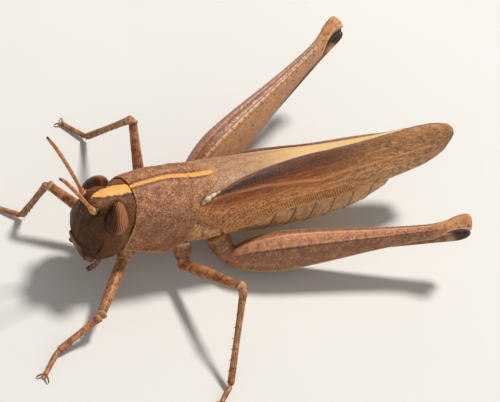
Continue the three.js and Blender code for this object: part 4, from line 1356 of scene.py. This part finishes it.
def make_foot(name, ankle, toe, radius, material, slot):
    """A three-jointed foot with pads under it, two curved claws and the cushion between them."""
    ankle, toe = Vector(ankle), Vector(toe)
    flat = Vector((toe.x - ankle.x, toe.y - ankle.y, 0)).normalized()
    right = flat.cross(UP)

    def beads(run, _):
        """How far the skin stands out along the three joints."""
        share = curve(FOOT_JOINTS, run) % 1
        return 0.16 * np.sin(np.pi * share) ** 0.6 - 0.2 + 0.12 * fade(0.5, 1, share)

    skin = Skin()
    profile = ((0, radius * 1.05), (0.5, radius * 0.95), (1, radius * 0.9))
    skin.take_in(limb((ankle, toe), profile, 20, 54, rib=beads, reach=0.05))
    for share in FOOT_PADS:
        centre = mix(ankle, toe, share)
        low = max(centre.z - radius * 0.75, PAD_LOWEST_Z)
        pearl(skin, (centre.x, centre.y, low), PAD_HALF, pale=0.55, segments=14)
    cushion = toe + flat * CUSHION_AHEAD
    pearl(skin, (cushion.x, cushion.y, CUSHION_Z), CUSHION_HALF, dark=0.2, pale=0.4, segments=14)
    for aside in (-1, 1):
        out = (flat * 0.8 + right * 0.75 * aside).normalized()
        start = toe + right * 0.1 * aside
        path = (start, start + out * 0.32 + UP * 0.12, start + out * 0.62,
                start + out * 0.72 + UP * (CLAW_TIP_Z - start.z))
        claw = limb(path, CLAW_PROFILE, 10, 14, reach=0.05)
        claw.mark(dark=fade(0.3, 0.9, claw.run))
        skin.take_in(claw)
    settle(skin, f"{name}_foot", material, slot, f"{name}_tarsus")


# ---------------------------------------------------------------- front and middle legs

# Each small leg is (start of the hip, end of the hip, knee, ankle, toe).
SMALL_LEGS = {
    "front_left": ((1.2, -1.7, 4.0), (0.7, -2.35, 3.0), (-4.1, -7.4, 2.5), (-8.4, -8.6, 0.5),
                   (-10.7, -10.6, 0.24)),
    "front_right": ((1.2, 1.7, 4.0), (0.7, 2.35, 3.0), (-3.8, 5.7, 5.4), (-4.5, 6.4, 0.5),
                    (-6.4, 8.1, 0.24)),
    "middle_left": ((6.9, -2.2, 3.6), (6.9, -3.6, 2.2), (7.95, -10.3, 6.5), (5.5, -16.2, 0.5),
                    (3.9, -17.5, 0.24)),
    "middle_right": ((6.9, 2.2, 3.6), (6.4, 3.6, 2.2), (6.6, 9.65, 7.5), (6.3, 13.9, 0.5),
                     (4.9, 16.1, 0.24)),
}
SMALL_HIP_PROFILE = ((0, 0.7), (0.4, 0.82), (0.8, 0.6), (1, 0.5))
SMALL_HIP_SUNK = 0.2
SMALL_RING_PROFILE = ((0, 0.4), (0.5, 0.55), (1, 0.46))
SMALL_THIGH_PROFILE = ((0, 0.42), (0.06, 0.5), (0.35, 0.56), (0.7, 0.48), (0.9, 0.43), (0.97, 0.48),
                       (1, 0.42))
SMALL_SHANK_PROFILE = ((0, 0.3), (0.04, 0.38), (0.12, 0.33), (0.5, 0.28), (0.93, 0.31), (1, 0.27))
SMALL_FOOT_RADIUS = 0.25
SMALL_KNEE_RUN = 0.97
SMALL_KNEE_FOLD_RUN = 0.93


def small_thigh_rib(run, angle):
    """Four keels along a small thigh, the swelling of its knee and the fold before it."""
    knee = 0.12 * bump(run - SMALL_KNEE_RUN, 0.02) - 0.1 * bump(run - SMALL_KNEE_FOLD_RUN, 0.012)
    return 0.05 * four_keels(angle) + knee


def make_small_hip(name, coxa, hip, knee, material):
    """The hip of a front or middle leg and the small ring from which its thigh starts."""
    inward = (coxa - hip).normalized()
    skin = limb((coxa + inward * SMALL_HIP_SUNK, coxa, hip), SMALL_HIP_PROFILE, 32, 36, reach=0.12)
    skin.push(0.04 * ripple(skin.points, 0.6, 3))
    skin.mark(pale=0.85 * bump(skin.run - 0.12, 0.07), dark=0.4 * bump(skin.run - 0.7, 0.05))
    toward = (knee - hip).normalized()
    skin.take_in(limb((hip - toward * 0.4, hip + toward * 0.25), SMALL_RING_PROFILE, 28, 16, reach=0.2))
    settle(skin, f"{name}_hip", material, "leg_cuticle", f"{name}_coxa")


def make_small_legs(sizes, colours):
    """The front and middle legs: hip, thigh, shank with its thorns, and foot."""
    material = cuticle("small leg cuticle", tuple(colours.leg), rgb(122, 76, 48), rgb(220, 172, 126),
                       dark=rgb(50, 30, 22), pale=rgb(226, 200, 160), accent=rgb(140, 78, 44),
                       roughness=0.42, cloud=1.6, light_specks=(4.4, 0.3, 0.4),
                       dark_dots=(3.0, 0.34, 0.6), grain=8.0, relief=0.4, coat=0.12)
    for name, joints in SMALL_LEGS.items():
        coxa, hip, knee, ankle, toe = [Vector(joint) for joint in joints]
        make_small_hip(name, coxa, hip, knee, material)
        thigh = limb((hip, knee), SMALL_THIGH_PROFILE, 28, 110, flatten=0.92, rib=small_thigh_rib,
                     reach=0.03)
        thigh.push(0.012 * ripple(thigh.points, 0.3, 5))
        thigh.mark(pale=0.25 * bump(thigh.run - SMALL_KNEE_RUN, 0.02),
                   dark=0.5 * bump(thigh.run - SMALL_KNEE_FOLD_RUN, 0.01),
                   accent=0.25 * fade(0.8, 0.9, thigh.run))
        settle(thigh, f"{name}_thigh", material, "leg_cuticle", f"{name}_femur")
        shank = limb((knee, ankle), SMALL_SHANK_PROFILE, 24, 110, reach=0.03,
                     rib=lambda _, angle: 0.06 * four_keels(angle))
        shank.mark(dark=0.55 * bump(shank.run - 0.12, 0.015), pale=0.15 * bump(shank.run - 0.05, 0.03))
        ahead = (ankle - knee).normalized()
        right = ahead.cross(UP).normalized()
        under = right.cross(ahead).normalized()
        if under.z > 0:
            under = -under
        for row in (-1, 1):
            way = (under * 0.65 + right * row * 0.7).normalized()
            thorn_row(shank, knee, ankle, way, sizes.small_spines, SMALL_THORNS)
        settle(shank, f"{name}_shank", material, "leg_cuticle", f"{name}_tibia")
        make_foot(name, ankle, toe, SMALL_FOOT_RADIUS, material, "leg_cuticle")


# ---------------------------------------------------------------- hind legs

# lean turns a thigh about its own length in radians, face_edge is the strength of the dark line
# above its outer face and dark_face the shade on that face.
HIND_LEGS = {
    "hind_left": {"coxa": (10.5, -2.2, 3.9), "hip": (11.2, -3.9, 2.2), "knee": (34.5, -9.1, 6.6),
                  "heel": (34.2, -9.0, 5.25), "ankle": (15.2, -3.4, 0.55), "toe": (19.0, -4.3, 0.26),
                  "side": -1, "lean": 0.0, "face_edge": 0.6, "dark_face": 0.0},
    "hind_right": {"coxa": (10.4, 2.2, 4.3), "hip": (10.8, 4.2, 3.0), "knee": (31.9, 14.2, 10.2),
                   "heel": (31.8, 14.0, 9.0), "ankle": (15.0, 5.4, 0.6), "toe": (18.7, 7.2, 0.26),
                   "side": 1, "lean": 0.55, "face_edge": 0.75, "dark_face": 0.25},
}
HIND_HIP_PROFILE = ((0, 1.0), (0.4, 1.08), (0.85, 0.8), (1, 0.6))
THIGH_PROFILE = ((0, 0.5), (0.04, 1.2), (0.1, 1.8), (0.2, 2.2), (0.3, 2.12), (0.42, 1.83), (0.6, 1.3),
                 (0.71, 1.05), (0.83, 0.88), (0.88, 0.96), (0.94, 1.18), (0.98, 1.25), (1, 1.05))
THIGH_FLATNESS = 0.64
THIGH_GIRTH = 9.5
# Keels, dark lines and pale lines are (direction, height or strength, width in degrees).
THIGH_KEELS = ((90, 0.07, 5), (48, 0.055, 5), (-32, 0.05, 6), (-90, 0.08, 6), (132, 0.05, 6),
               (-148, 0.04, 7))
THIGH_DARK_LINES = ((93, 0.4, 3), (127, 0.4, 2))
THIGH_PALE_LINES = ((-32, 0.45, 4), (133, 0.8, 4.5), (87, 0.35, 3))
# Each row of dots is (direction, pitch, radius, seed).
THIGH_DOTS = ((74, 1.15, 0.085, 1), (46, 1.0, 0.09, 2), (10, 1.7, 0.08, 3), (-14, 1.5, 0.08, 4),
              (118, 1.9, 0.085, 5), (150, 1.6, 0.085, 6), (175, 2.2, 0.08, 7), (60, 2.1, 0.075, 8),
              (133, 0.85, 0.1, 9))
MOST_DOTS = 80
BEADED_KEELS = ((90, 1, 6), (48, 1, 6))
KEEL_BEAD_PITCH = 0.5
FACES = (8, 172)
CHEVRON_SLANT = 34
# Half width in degrees of the slot under the knee, into which the shank folds.
KNEE_SLOT = ((0.8, 0), (0.83, 34), (0.86, 72), (0.89, 104), (0.925, 120), (0.96, 118), (1, 100))
HIND_SHANK_PROFILE = ((0, 0.4), (0.03, 0.5), (0.08, 0.44), (0.2, 0.36), (0.8, 0.33), (0.95, 0.38),
                      (1, 0.34))
# Each spur at a shank's end is (rise, length).
SPURS = ((0.25, 0.75), (-0.45, 0.6))
HIND_FOOT_RADIUS = 0.28


def lines_at(angle, lines):
    """Height or strength of lines along a limb of (direction, strength, width)."""
    return sum(strength * bump(apart(angle, at), width) for at, strength, width in lines)


def thigh_rib(run, angle, length, pitch):
    """Keels along a hind thigh, the herringbone of its faces and the slot under its knee."""
    middle = fade(0.05, 0.12, run) * (1 - fade(0.8, 0.86, run))
    beads = 0.005 * np.sin(run * length / KEEL_BEAD_PITCH * math.tau) * lines_at(angle, BEADED_KEELS)
    outer, inner = [apart(angle, at) for at in FACES]
    chevron = np.sin((run * length / pitch - outer / CHEVRON_SLANT) * math.tau)
    herringbone = 0.025 * chevron * (1 - fade(26, 38, outer))
    hollow = 0.07 * bump(np.minimum(outer, inner), 22)
    under, reach = apart(angle, -90), curve(KNEE_SLOT, run)
    slot = 0.62 * fade(reach + 6, reach - 6, under) * fade(0.81, 0.85, run)
    lip = 0.08 * bump(under - reach - 11, 7) * fade(0.83, 0.88, run)
    crown = 0.3 * bump(run - 0.975, 0.055) * bump(apart(angle, 100), 60)
    keels = lines_at(angle, THIGH_KEELS) * fade(0, 0.05, run)
    return keels + beads + (herringbone - hollow) * middle - slot + lip + crown


def dotted(along, aside, pitch, radius, seed):
    """A slightly uneven row of dots: along and aside are mm from the row's start and its line."""
    dice = random.Random(seed)
    shifts = np.array([(dice.uniform(-0.22, 0.22), dice.uniform(-0.07, 0.07)) for _ in range(MOST_DOTS)])
    cell = np.clip(np.floor(along / pitch).astype(int), 0, MOST_DOTS - 1)
    from_dot = along - (cell + 0.5 + shifts[cell, 0]) * pitch
    return bump(np.hypot(from_dot, aside - shifts[cell, 1]), radius)


def make_hind_hip(name, leg, material):
    """The hip of a hind leg, which reaches into its thigh."""
    coxa, hip, knee = [Vector(leg[joint]) for joint in ("coxa", "hip", "knee")]
    skin = limb((coxa, mix(hip, knee, 0.02)), HIND_HIP_PROFILE, 40, 40, reach=0.12)
    skin.push(0.05 * ripple(skin.points, 0.7, 4))
    skin.mark(dark=0.5 * bump(skin.run - 0.62, 0.04), pale=0.3 * bump(skin.run - 0.1, 0.06))
    settle(skin, f"{name}_hip", material, "hind_leg_cuticle", f"{name}_coxa")


def make_hind_thigh(name, leg, pitch, material):
    """The club-shaped thigh with its keels, herringbone, rows of dots and painted lines."""
    length = math.dist(leg["hip"], leg["knee"])
    skin = limb((leg["hip"], leg["knee"]), THIGH_PROFILE, 96, 300, flatten=THIGH_FLATNESS,
                lean=leg["lean"], side=leg["side"], reach=0.012,
                rib=partial(thigh_rib, length=length, pitch=pitch))
    run, angle = skin.run, degrees(skin.turn)
    skin.push(0.012 * ripple(skin.points, 0.25, 6))
    middle = fade(0.03, 0.08, run) * (1 - fade(0.84, 0.9, run))
    along, radius_there = run * length, curve(THIGH_PROFILE, run)
    dots = sum(dotted(along, np.radians(angle - at) * radius_there * 0.85, gap, radius, seed)
               for at, gap, radius, seed in THIGH_DOTS)
    from_out, under, reach = apart(angle, 0), apart(angle, -90), curve(KNEE_SLOT, run)
    # slot_shade is painted shade that darkens the slot under the knee.
    slot_shade = fade(reach + 4, reach - 5, under) * fade(0.81, 0.84, run)
    slot_lip = 0.8 * bump(under - reach - 9, 5) * fade(0.83, 0.87, run)
    dark_lines = lines_at(angle, (*THIGH_DARK_LINES, (45, leg["face_edge"], 3)))
    dark_face = leg["dark_face"] * fade(84, 76, from_out)
    inner_face = 0.32 * fade(134, 150, from_out) * (1 - slot_shade)
    skin.mark(dark=0.9 * dots * fade(0.06, 0.1, run) + (dark_lines + dark_face) * middle + slot_shade,
              pale=(lines_at(angle, THIGH_PALE_LINES) + inner_face) * middle + slot_lip,
              accent=fade(0.8, 0.9, run),
              other=fade(42, 48, angle) * (1 - 0.6 * fade(96, 102, angle)))
    skin.lay_out(along, skin.turn * THIGH_GIRTH)
    settle(skin, f"{name}_thigh", material, "hind_leg_cuticle", f"{name}_femur")


def make_hind_shank(name, leg, thorns, material):
    """The shank folded under the thigh, with its two rows of thorns and its four spurs."""
    knee, heel, ankle = [Vector(leg[joint]) for joint in ("knee", "heel", "ankle")]
    ahead = (ankle - heel).normalized()
    path = (knee + Vector((0.1, 0, -0.5)), mix(knee, heel, 0.7) + Vector((0.12, 0, 0)), heel + ahead * 0.9,
            mix(heel, ankle, 0.5), ankle)
    skin = limb(path, HIND_SHANK_PROFILE, 28, 170, rib=lambda _, angle: 0.05 * four_keels(angle),
                reach=0.015)
    # The dark share at the very start of the shank is painted shade where it sits in the knee's slot.
    skin.mark(pale=0.4 * bump(skin.run - 0.1, 0.02),
              dark=0.45 * bump(skin.run - 0.135, 0.012) + 0.9 * fade(0.085, 0.055, skin.run))
    right = ahead.cross(UP).normalized()
    for row in (-1, 1):
        way = (right * row * 0.45 + UP * 0.9).normalized()
        thorn_row(skin, heel, ankle, way, thorns, HIND_THORNS)
        for rise, size in SPURS:
            way = (right * row * 0.8 + UP * rise + ahead * 0.9).normalized()
            root = ankle + right * row * 0.2
            spine(skin, root, root + way * size, 0.1, 0.9)
    settle(skin, f"{name}_shank", material, "hind_leg_cuticle", f"{name}_tibia")


def make_hind_legs(sizes, colours):
    """The two folded hind legs: hip, thigh, shank and foot."""
    material = hind_material(colours)
    for name, leg in HIND_LEGS.items():
        make_hind_hip(name, leg, material)
        make_hind_thigh(name, leg, sizes.rib_pitch / MM, material)
        make_hind_shank(name, leg, sizes.hind_spines, material)
        make_foot(name, leg["ankle"], leg["toe"], HIND_FOOT_RADIUS, material, "hind_leg_cuticle")


def hind_material(colours):
    """Light brown upper band over a darker face with rows of pale dots, and a tan knee."""
    material, tree, shader, point = start_material("hind leg cuticle")
    dark, pale, knee, upper = marks_of(tree)
    place = place_of(tree)
    face = mottle(tree, point, 1.3, rgb(118, 74, 46), rgb(150, 98, 60))
    rows = specks(tree, stretched(tree, place, (1.9, 2.6, 1.0)), 1.0, 0.2, 0.55)
    face = blend(tree, times(tree, rows, 0.55), face, rgb(204, 164, 118))
    band = mottle(tree, point, 2.2, rgb(148, 96, 68), tuple(colours.hind_band))
    colour = blend(tree, ramp(tree, upper, 0.4, 0.6), face, band)
    light = specks(tree, point, 3.6, 0.34, 0.4)
    colour = blend(tree, times(tree, light, 0.45), colour, rgb(228, 184, 142))
    dots = specks(tree, point, 2.0, 0.14, 0.3)
    colour = blend(tree, times(tree, dots, 0.7), colour, rgb(70, 40, 28))
    tan = mottle(tree, point, 1.4, rgb(176, 114, 72), rgb(206, 148, 100))
    colour = blend(tree, times(tree, knee, 0.8), colour, tan)
    colour = blend(tree, pale, colour, rgb(226, 180, 134))
    colour = blend(tree, dark, colour, rgb(56, 34, 24))
    pebbles = use(tree, "Grain", Vector=point, Scale=7.0, Knobs=KNOBS)
    dullness = ramp(tree, pebbles, *GRAIN_HEIGHTS, 0.52, 0.36)
    finish_shader(tree, shader, colour, dullness, pebbles, relief=0.45, gloss=0.35, coat=0.08,
                  coat_roughness=0.2)
    return material


# ---------------------------------------------------------------- stage

CAMERA_EYE = (-133.01276, -128.35784, 186.68345)
CAMERA_RIGHT = (0.81616685, -0.4734145, 0.33128595)
CAMERA_UP = (0.16294468, 0.73864546, 0.6541039)
CAMERA_BACK = (-0.55436514, -0.47987664, 0.67999831)
CAMERA_LENS = 209.559
CAMERA_FILM = 36.0
CAMERA_CLIP = (0.01, 10)
LAMP_COLOUR = (1.0, 0.975, 0.94)
SKY_COLOUR = (1.0, 0.99, 0.97, 1.0)
LIGHTS = {
    "key": {"from": (0.38, 0.2, 0.9), "distance": 0.5, "size": 0.09, "share": 1.0},
    "front_fill": {"from": (-0.75, -0.5, 0.45), "distance": 0.5, "size": 0.5, "share": 0.2},
    "left_fill": {"from": (0.2, -0.9, 0.35), "distance": 0.5, "size": 0.5, "share": 0.16},
}
FLOOR_SHADE = 0.97


def make_floor(studio):
    """The round floor under the model."""
    bm = bmesh.new()
    bmesh.ops.create_circle(bm, cap_ends=True, segments=96, radius=studio.floor_size)
    mesh = bpy.data.meshes.new("studio_floor")
    bm.to_mesh(mesh)
    bm.free()
    mesh.materials.append(floor_material(tuple(studio.floor_colour)))
    floor = bpy.data.objects.new("studio_floor", mesh)
    bpy.context.collection.objects.link(floor)


def floor_material(colour):
    """Pale matt floor with a faint tooth."""
    material = bpy.data.materials.new("studio floor")
    material.use_nodes = True
    tree = material.node_tree
    shader = tree.nodes["Principled BSDF"]
    place = node(tree, "ShaderNodeTexCoord").outputs["Object"]
    cloud = node(tree, "ShaderNodeTexNoise", Vector=place, Scale=60.0, Detail=3.0).outputs["Fac"]
    red, green, blue, _ = colour
    shade = (red * FLOOR_SHADE, green * FLOOR_SHADE, blue * FLOOR_SHADE, 1)
    tinted = blend(tree, ramp(tree, cloud, 0.3, 0.7), shade, colour)
    tree.links.new(tinted, shader.inputs["Base Color"])
    tree.links.new(ramp(tree, cloud, 0.3, 0.7, 0.8, 0.9), shader.inputs["Roughness"])
    return material


def make_lights(studio):
    """The round lamps and the even light of the sky."""
    for name, light in LIGHTS.items():
        lamp = bpy.data.lights.new(name, "AREA")
        lamp.shape = "DISK"
        lamp.size = light["size"]
        lamp.energy = studio.key_power * light["share"]
        lamp.color = LAMP_COLOUR
        holder = bpy.data.objects.new(name, lamp)
        away = Vector(light["from"]).normalized()
        turned = away.to_track_quat("Z", "Y").to_matrix().to_4x4()
        holder.matrix_world = Matrix.Translation(away * light["distance"]) @ turned
        bpy.context.collection.objects.link(holder)
    world = bpy.data.worlds.new("studio")
    world.use_nodes = True
    sky = world.node_tree.nodes["Background"]
    sky.inputs["Color"].default_value = SKY_COLOUR
    sky.inputs["Strength"].default_value = studio.ambience
    bpy.context.scene.world = world
    bpy.context.scene.view_settings.view_transform = "Standard"


def make_camera():
    """The camera, ahead of the animal on its left and above it."""
    camera = bpy.data.cameras.new("camera")
    camera.lens = CAMERA_LENS
    camera.sensor_fit = "HORIZONTAL"
    camera.sensor_width = CAMERA_FILM
    camera.clip_start, camera.clip_end = CAMERA_CLIP
    holder = bpy.data.objects.new("camera", camera)
    turned = Matrix((CAMERA_RIGHT, CAMERA_UP, CAMERA_BACK)).transposed().to_4x4()
    holder.matrix_world = Matrix.Translation((Vector(CAMERA_EYE) + ORIGIN) * MM) @ turned
    bpy.context.collection.objects.link(holder)
    bpy.context.scene.camera = holder


# ---------------------------------------------------------------- settings


class GrasshopperSizes(bpy.types.PropertyGroup):
    """Sizes and counts that shape the model"""
    wing_thickness: bpy.props.FloatProperty(
        name="Wing thickness", description="Thickness of a fore wing", default=0.16 * MM, min=0.05 * MM,
        max=0.4 * MM, precision=6, unit="LENGTH")
    granule_height: bpy.props.FloatProperty(
        name="Granule height", description="Height of the granules on the pronotum", default=0.035 * MM,
        min=0, max=0.1 * MM, precision=6, unit="LENGTH")
    rib_pitch: bpy.props.FloatProperty(
        name="Herringbone pitch", description="Distance between the ribs on a hind thigh",
        default=0.85 * MM, min=0.3 * MM, max=3 * MM, precision=6, unit="LENGTH")
    feeler_joints: bpy.props.IntProperty(
        name="Feeler joints", description="Joints in the lash of a feeler", default=25, min=5, max=40)
    small_spines: bpy.props.IntProperty(
        name="Small spines", description="Thorns in each row of a front or middle shank", default=6,
        min=2, max=12)
    hind_spines: bpy.props.IntProperty(
        name="Hind spines", description="Thorns in each row of a hind shank", default=10, min=4, max=16)


def paint(name, description, colour):
    """A colour setting."""
    return bpy.props.FloatVectorProperty(name=name, description=description, subtype="COLOR", size=4,
                                         min=0, max=1, default=colour)


class GrasshopperColours(bpy.types.PropertyGroup):
    """Main colours of the model"""
    stripe: paint("Back stripe", "Stripe along the crown and the pronotum", rgb(210, 148, 80))
    eye_band: paint("Eye band", "Light bands of the compound eyes", rgb(198, 130, 80))
    wing: paint("Wing", "Light part of the fore wings' side", rgb(210, 146, 90))
    wing_strip: paint("Wing strip", "Pale strip along the back of the fore wings", rgb(208, 174, 120))
    hind_band: paint("Hind band", "Upper band of the hind thighs", rgb(182, 124, 86))
    leg: paint("Small legs", "Front and middle legs", rgb(186, 126, 80))


class GrasshopperStudio(bpy.types.PropertyGroup):
    """Floor and light of the stage"""
    floor_size: bpy.props.FloatProperty(
        name="Floor size", description="Half width of the floor", default=1.2, min=0.1, unit="LENGTH")
    floor_colour: paint("Floor", "Colour of the floor", rgb(206, 204, 200))
    key_power: bpy.props.FloatProperty(
        name="Key power", description="Power of the key light", default=2.9, min=0, unit="POWER")
    ambience: bpy.props.FloatProperty(
        name="Ambience", description="Strength of the even light from all round", default=0.28, min=0)


# ---------------------------------------------------------------- operators


class ModelHead(bpy.types.Operator):
    """Models the head capsule with its ridges, sockets and small eyes"""
    bl_idname = "grasshopper.head"
    bl_label = "Head"

    def execute(self, context):
        make_head(context.scene.grasshopper_colours)
        return {"FINISHED"}


class ModelEyes(bpy.types.Operator):
    """Models the two banded compound eyes"""
    bl_idname = "grasshopper.eyes"
    bl_label = "Eyes"

    def execute(self, context):
        make_eyes(context.scene.grasshopper_colours)
        return {"FINISHED"}


class ModelFeelers(bpy.types.Operator):
    """Models the bases and jointed lashes of the feelers"""
    bl_idname = "grasshopper.feelers"
    bl_label = "Feelers"

    def execute(self, context):
        make_feelers(context.scene.grasshopper_sizes)
        return {"FINISHED"}


class ModelMouth(bpy.types.Operator):
    """Models the upper lip, the jaws and the small feelers of the mouth"""
    bl_idname = "grasshopper.mouth"
    bl_label = "Mouth"

    def execute(self, context):
        make_mouth()
        return {"FINISHED"}


class ModelPronotum(bpy.types.Operator):
    """Models the saddle behind the head and the body inside it"""
    bl_idname = "grasshopper.pronotum"
    bl_label = "Pronotum"

    def execute(self, context):
        make_pronotum(context.scene.grasshopper_sizes, context.scene.grasshopper_colours)
        return {"FINISHED"}


class ModelThorax(bpy.types.Operator):
    """Models the plates of the body between the legs"""
    bl_idname = "grasshopper.thorax"
    bl_label = "Thorax"

    def execute(self, context):
        make_thorax()
        return {"FINISHED"}


class ModelAbdomen(bpy.types.Operator):
    """Models the eight rings of the abdomen and its tip"""
    bl_idname = "grasshopper.abdomen"
    bl_label = "Abdomen"

    def execute(self, context):
        make_abdomen()
        return {"FINISHED"}


class ModelWings(bpy.types.Operator):
    """Models the two closed fore wings"""
    bl_idname = "grasshopper.wings"
    bl_label = "Fore wings"

    def execute(self, context):
        make_wings(context.scene.grasshopper_sizes, context.scene.grasshopper_colours)
        return {"FINISHED"}


class ModelSmallLegs(bpy.types.Operator):
    """Models the front and middle legs"""
    bl_idname = "grasshopper.small_legs"
    bl_label = "Front and middle legs"

    def execute(self, context):
        make_small_legs(context.scene.grasshopper_sizes, context.scene.grasshopper_colours)
        return {"FINISHED"}


class ModelHindLegs(bpy.types.Operator):
    """Models the folded hind legs"""
    bl_idname = "grasshopper.hind_legs"
    bl_label = "Hind legs"

    def execute(self, context):
        make_hind_legs(context.scene.grasshopper_sizes, context.scene.grasshopper_colours)
        return {"FINISHED"}


class SetStage(bpy.types.Operator):
    """Sets up the floor, the lights and the camera"""
    bl_idname = "grasshopper.stage"
    bl_label = "Stage"

    def execute(self, context):
        studio = context.scene.grasshopper_studio
        make_floor(studio)
        make_lights(studio)
        make_camera()
        return {"FINISHED"}


OPERATORS = (ModelHead, ModelEyes, ModelFeelers, ModelMouth, ModelPronotum, ModelThorax, ModelAbdomen,
             ModelWings, ModelSmallLegs, ModelHindLegs, SetStage)
SETTINGS = {"grasshopper_sizes": GrasshopperSizes, "grasshopper_colours": GrasshopperColours,
            "grasshopper_studio": GrasshopperStudio}


class GrasshopperPanel(bpy.types.Panel):
    """Settings and buttons of the model"""
    bl_idname = "VIEW3D_PT_grasshopper"
    bl_label = "Grasshopper"
    bl_space_type = "VIEW_3D"
    bl_region_type = "UI"
    bl_category = "Grasshopper"

    def draw(self, context):
        """Lays out every setting and a button for each operator"""
        for setting, kind in SETTINGS.items():
            box = self.layout.box()
            for label in kind.__annotations__:
                box.prop(getattr(context.scene, setting), label)
        for operator in OPERATORS:
            self.layout.operator(operator.bl_idname)


def register():
    """Adds the settings, the operators and the panel to Blender."""
    for kind in (*SETTINGS.values(), *OPERATORS, GrasshopperPanel):
        bpy.utils.register_class(kind)
    for setting, kind in SETTINGS.items():
        setattr(bpy.types.Scene, setting, bpy.props.PointerProperty(type=kind))


def unregister():
    """Takes them out again."""
    for setting in SETTINGS:
        delattr(bpy.types.Scene, setting)
    for kind in reversed((*SETTINGS.values(), *OPERATORS, GrasshopperPanel)):
        bpy.utils.unregister_class(kind)


def main():
    """Models every part and sets the stage."""
    register()
    for operator in OPERATORS:
        group, action = operator.bl_idname.split(".")
        getattr(getattr(bpy.ops, group), action)()


if __name__ == "__main__":
    main()
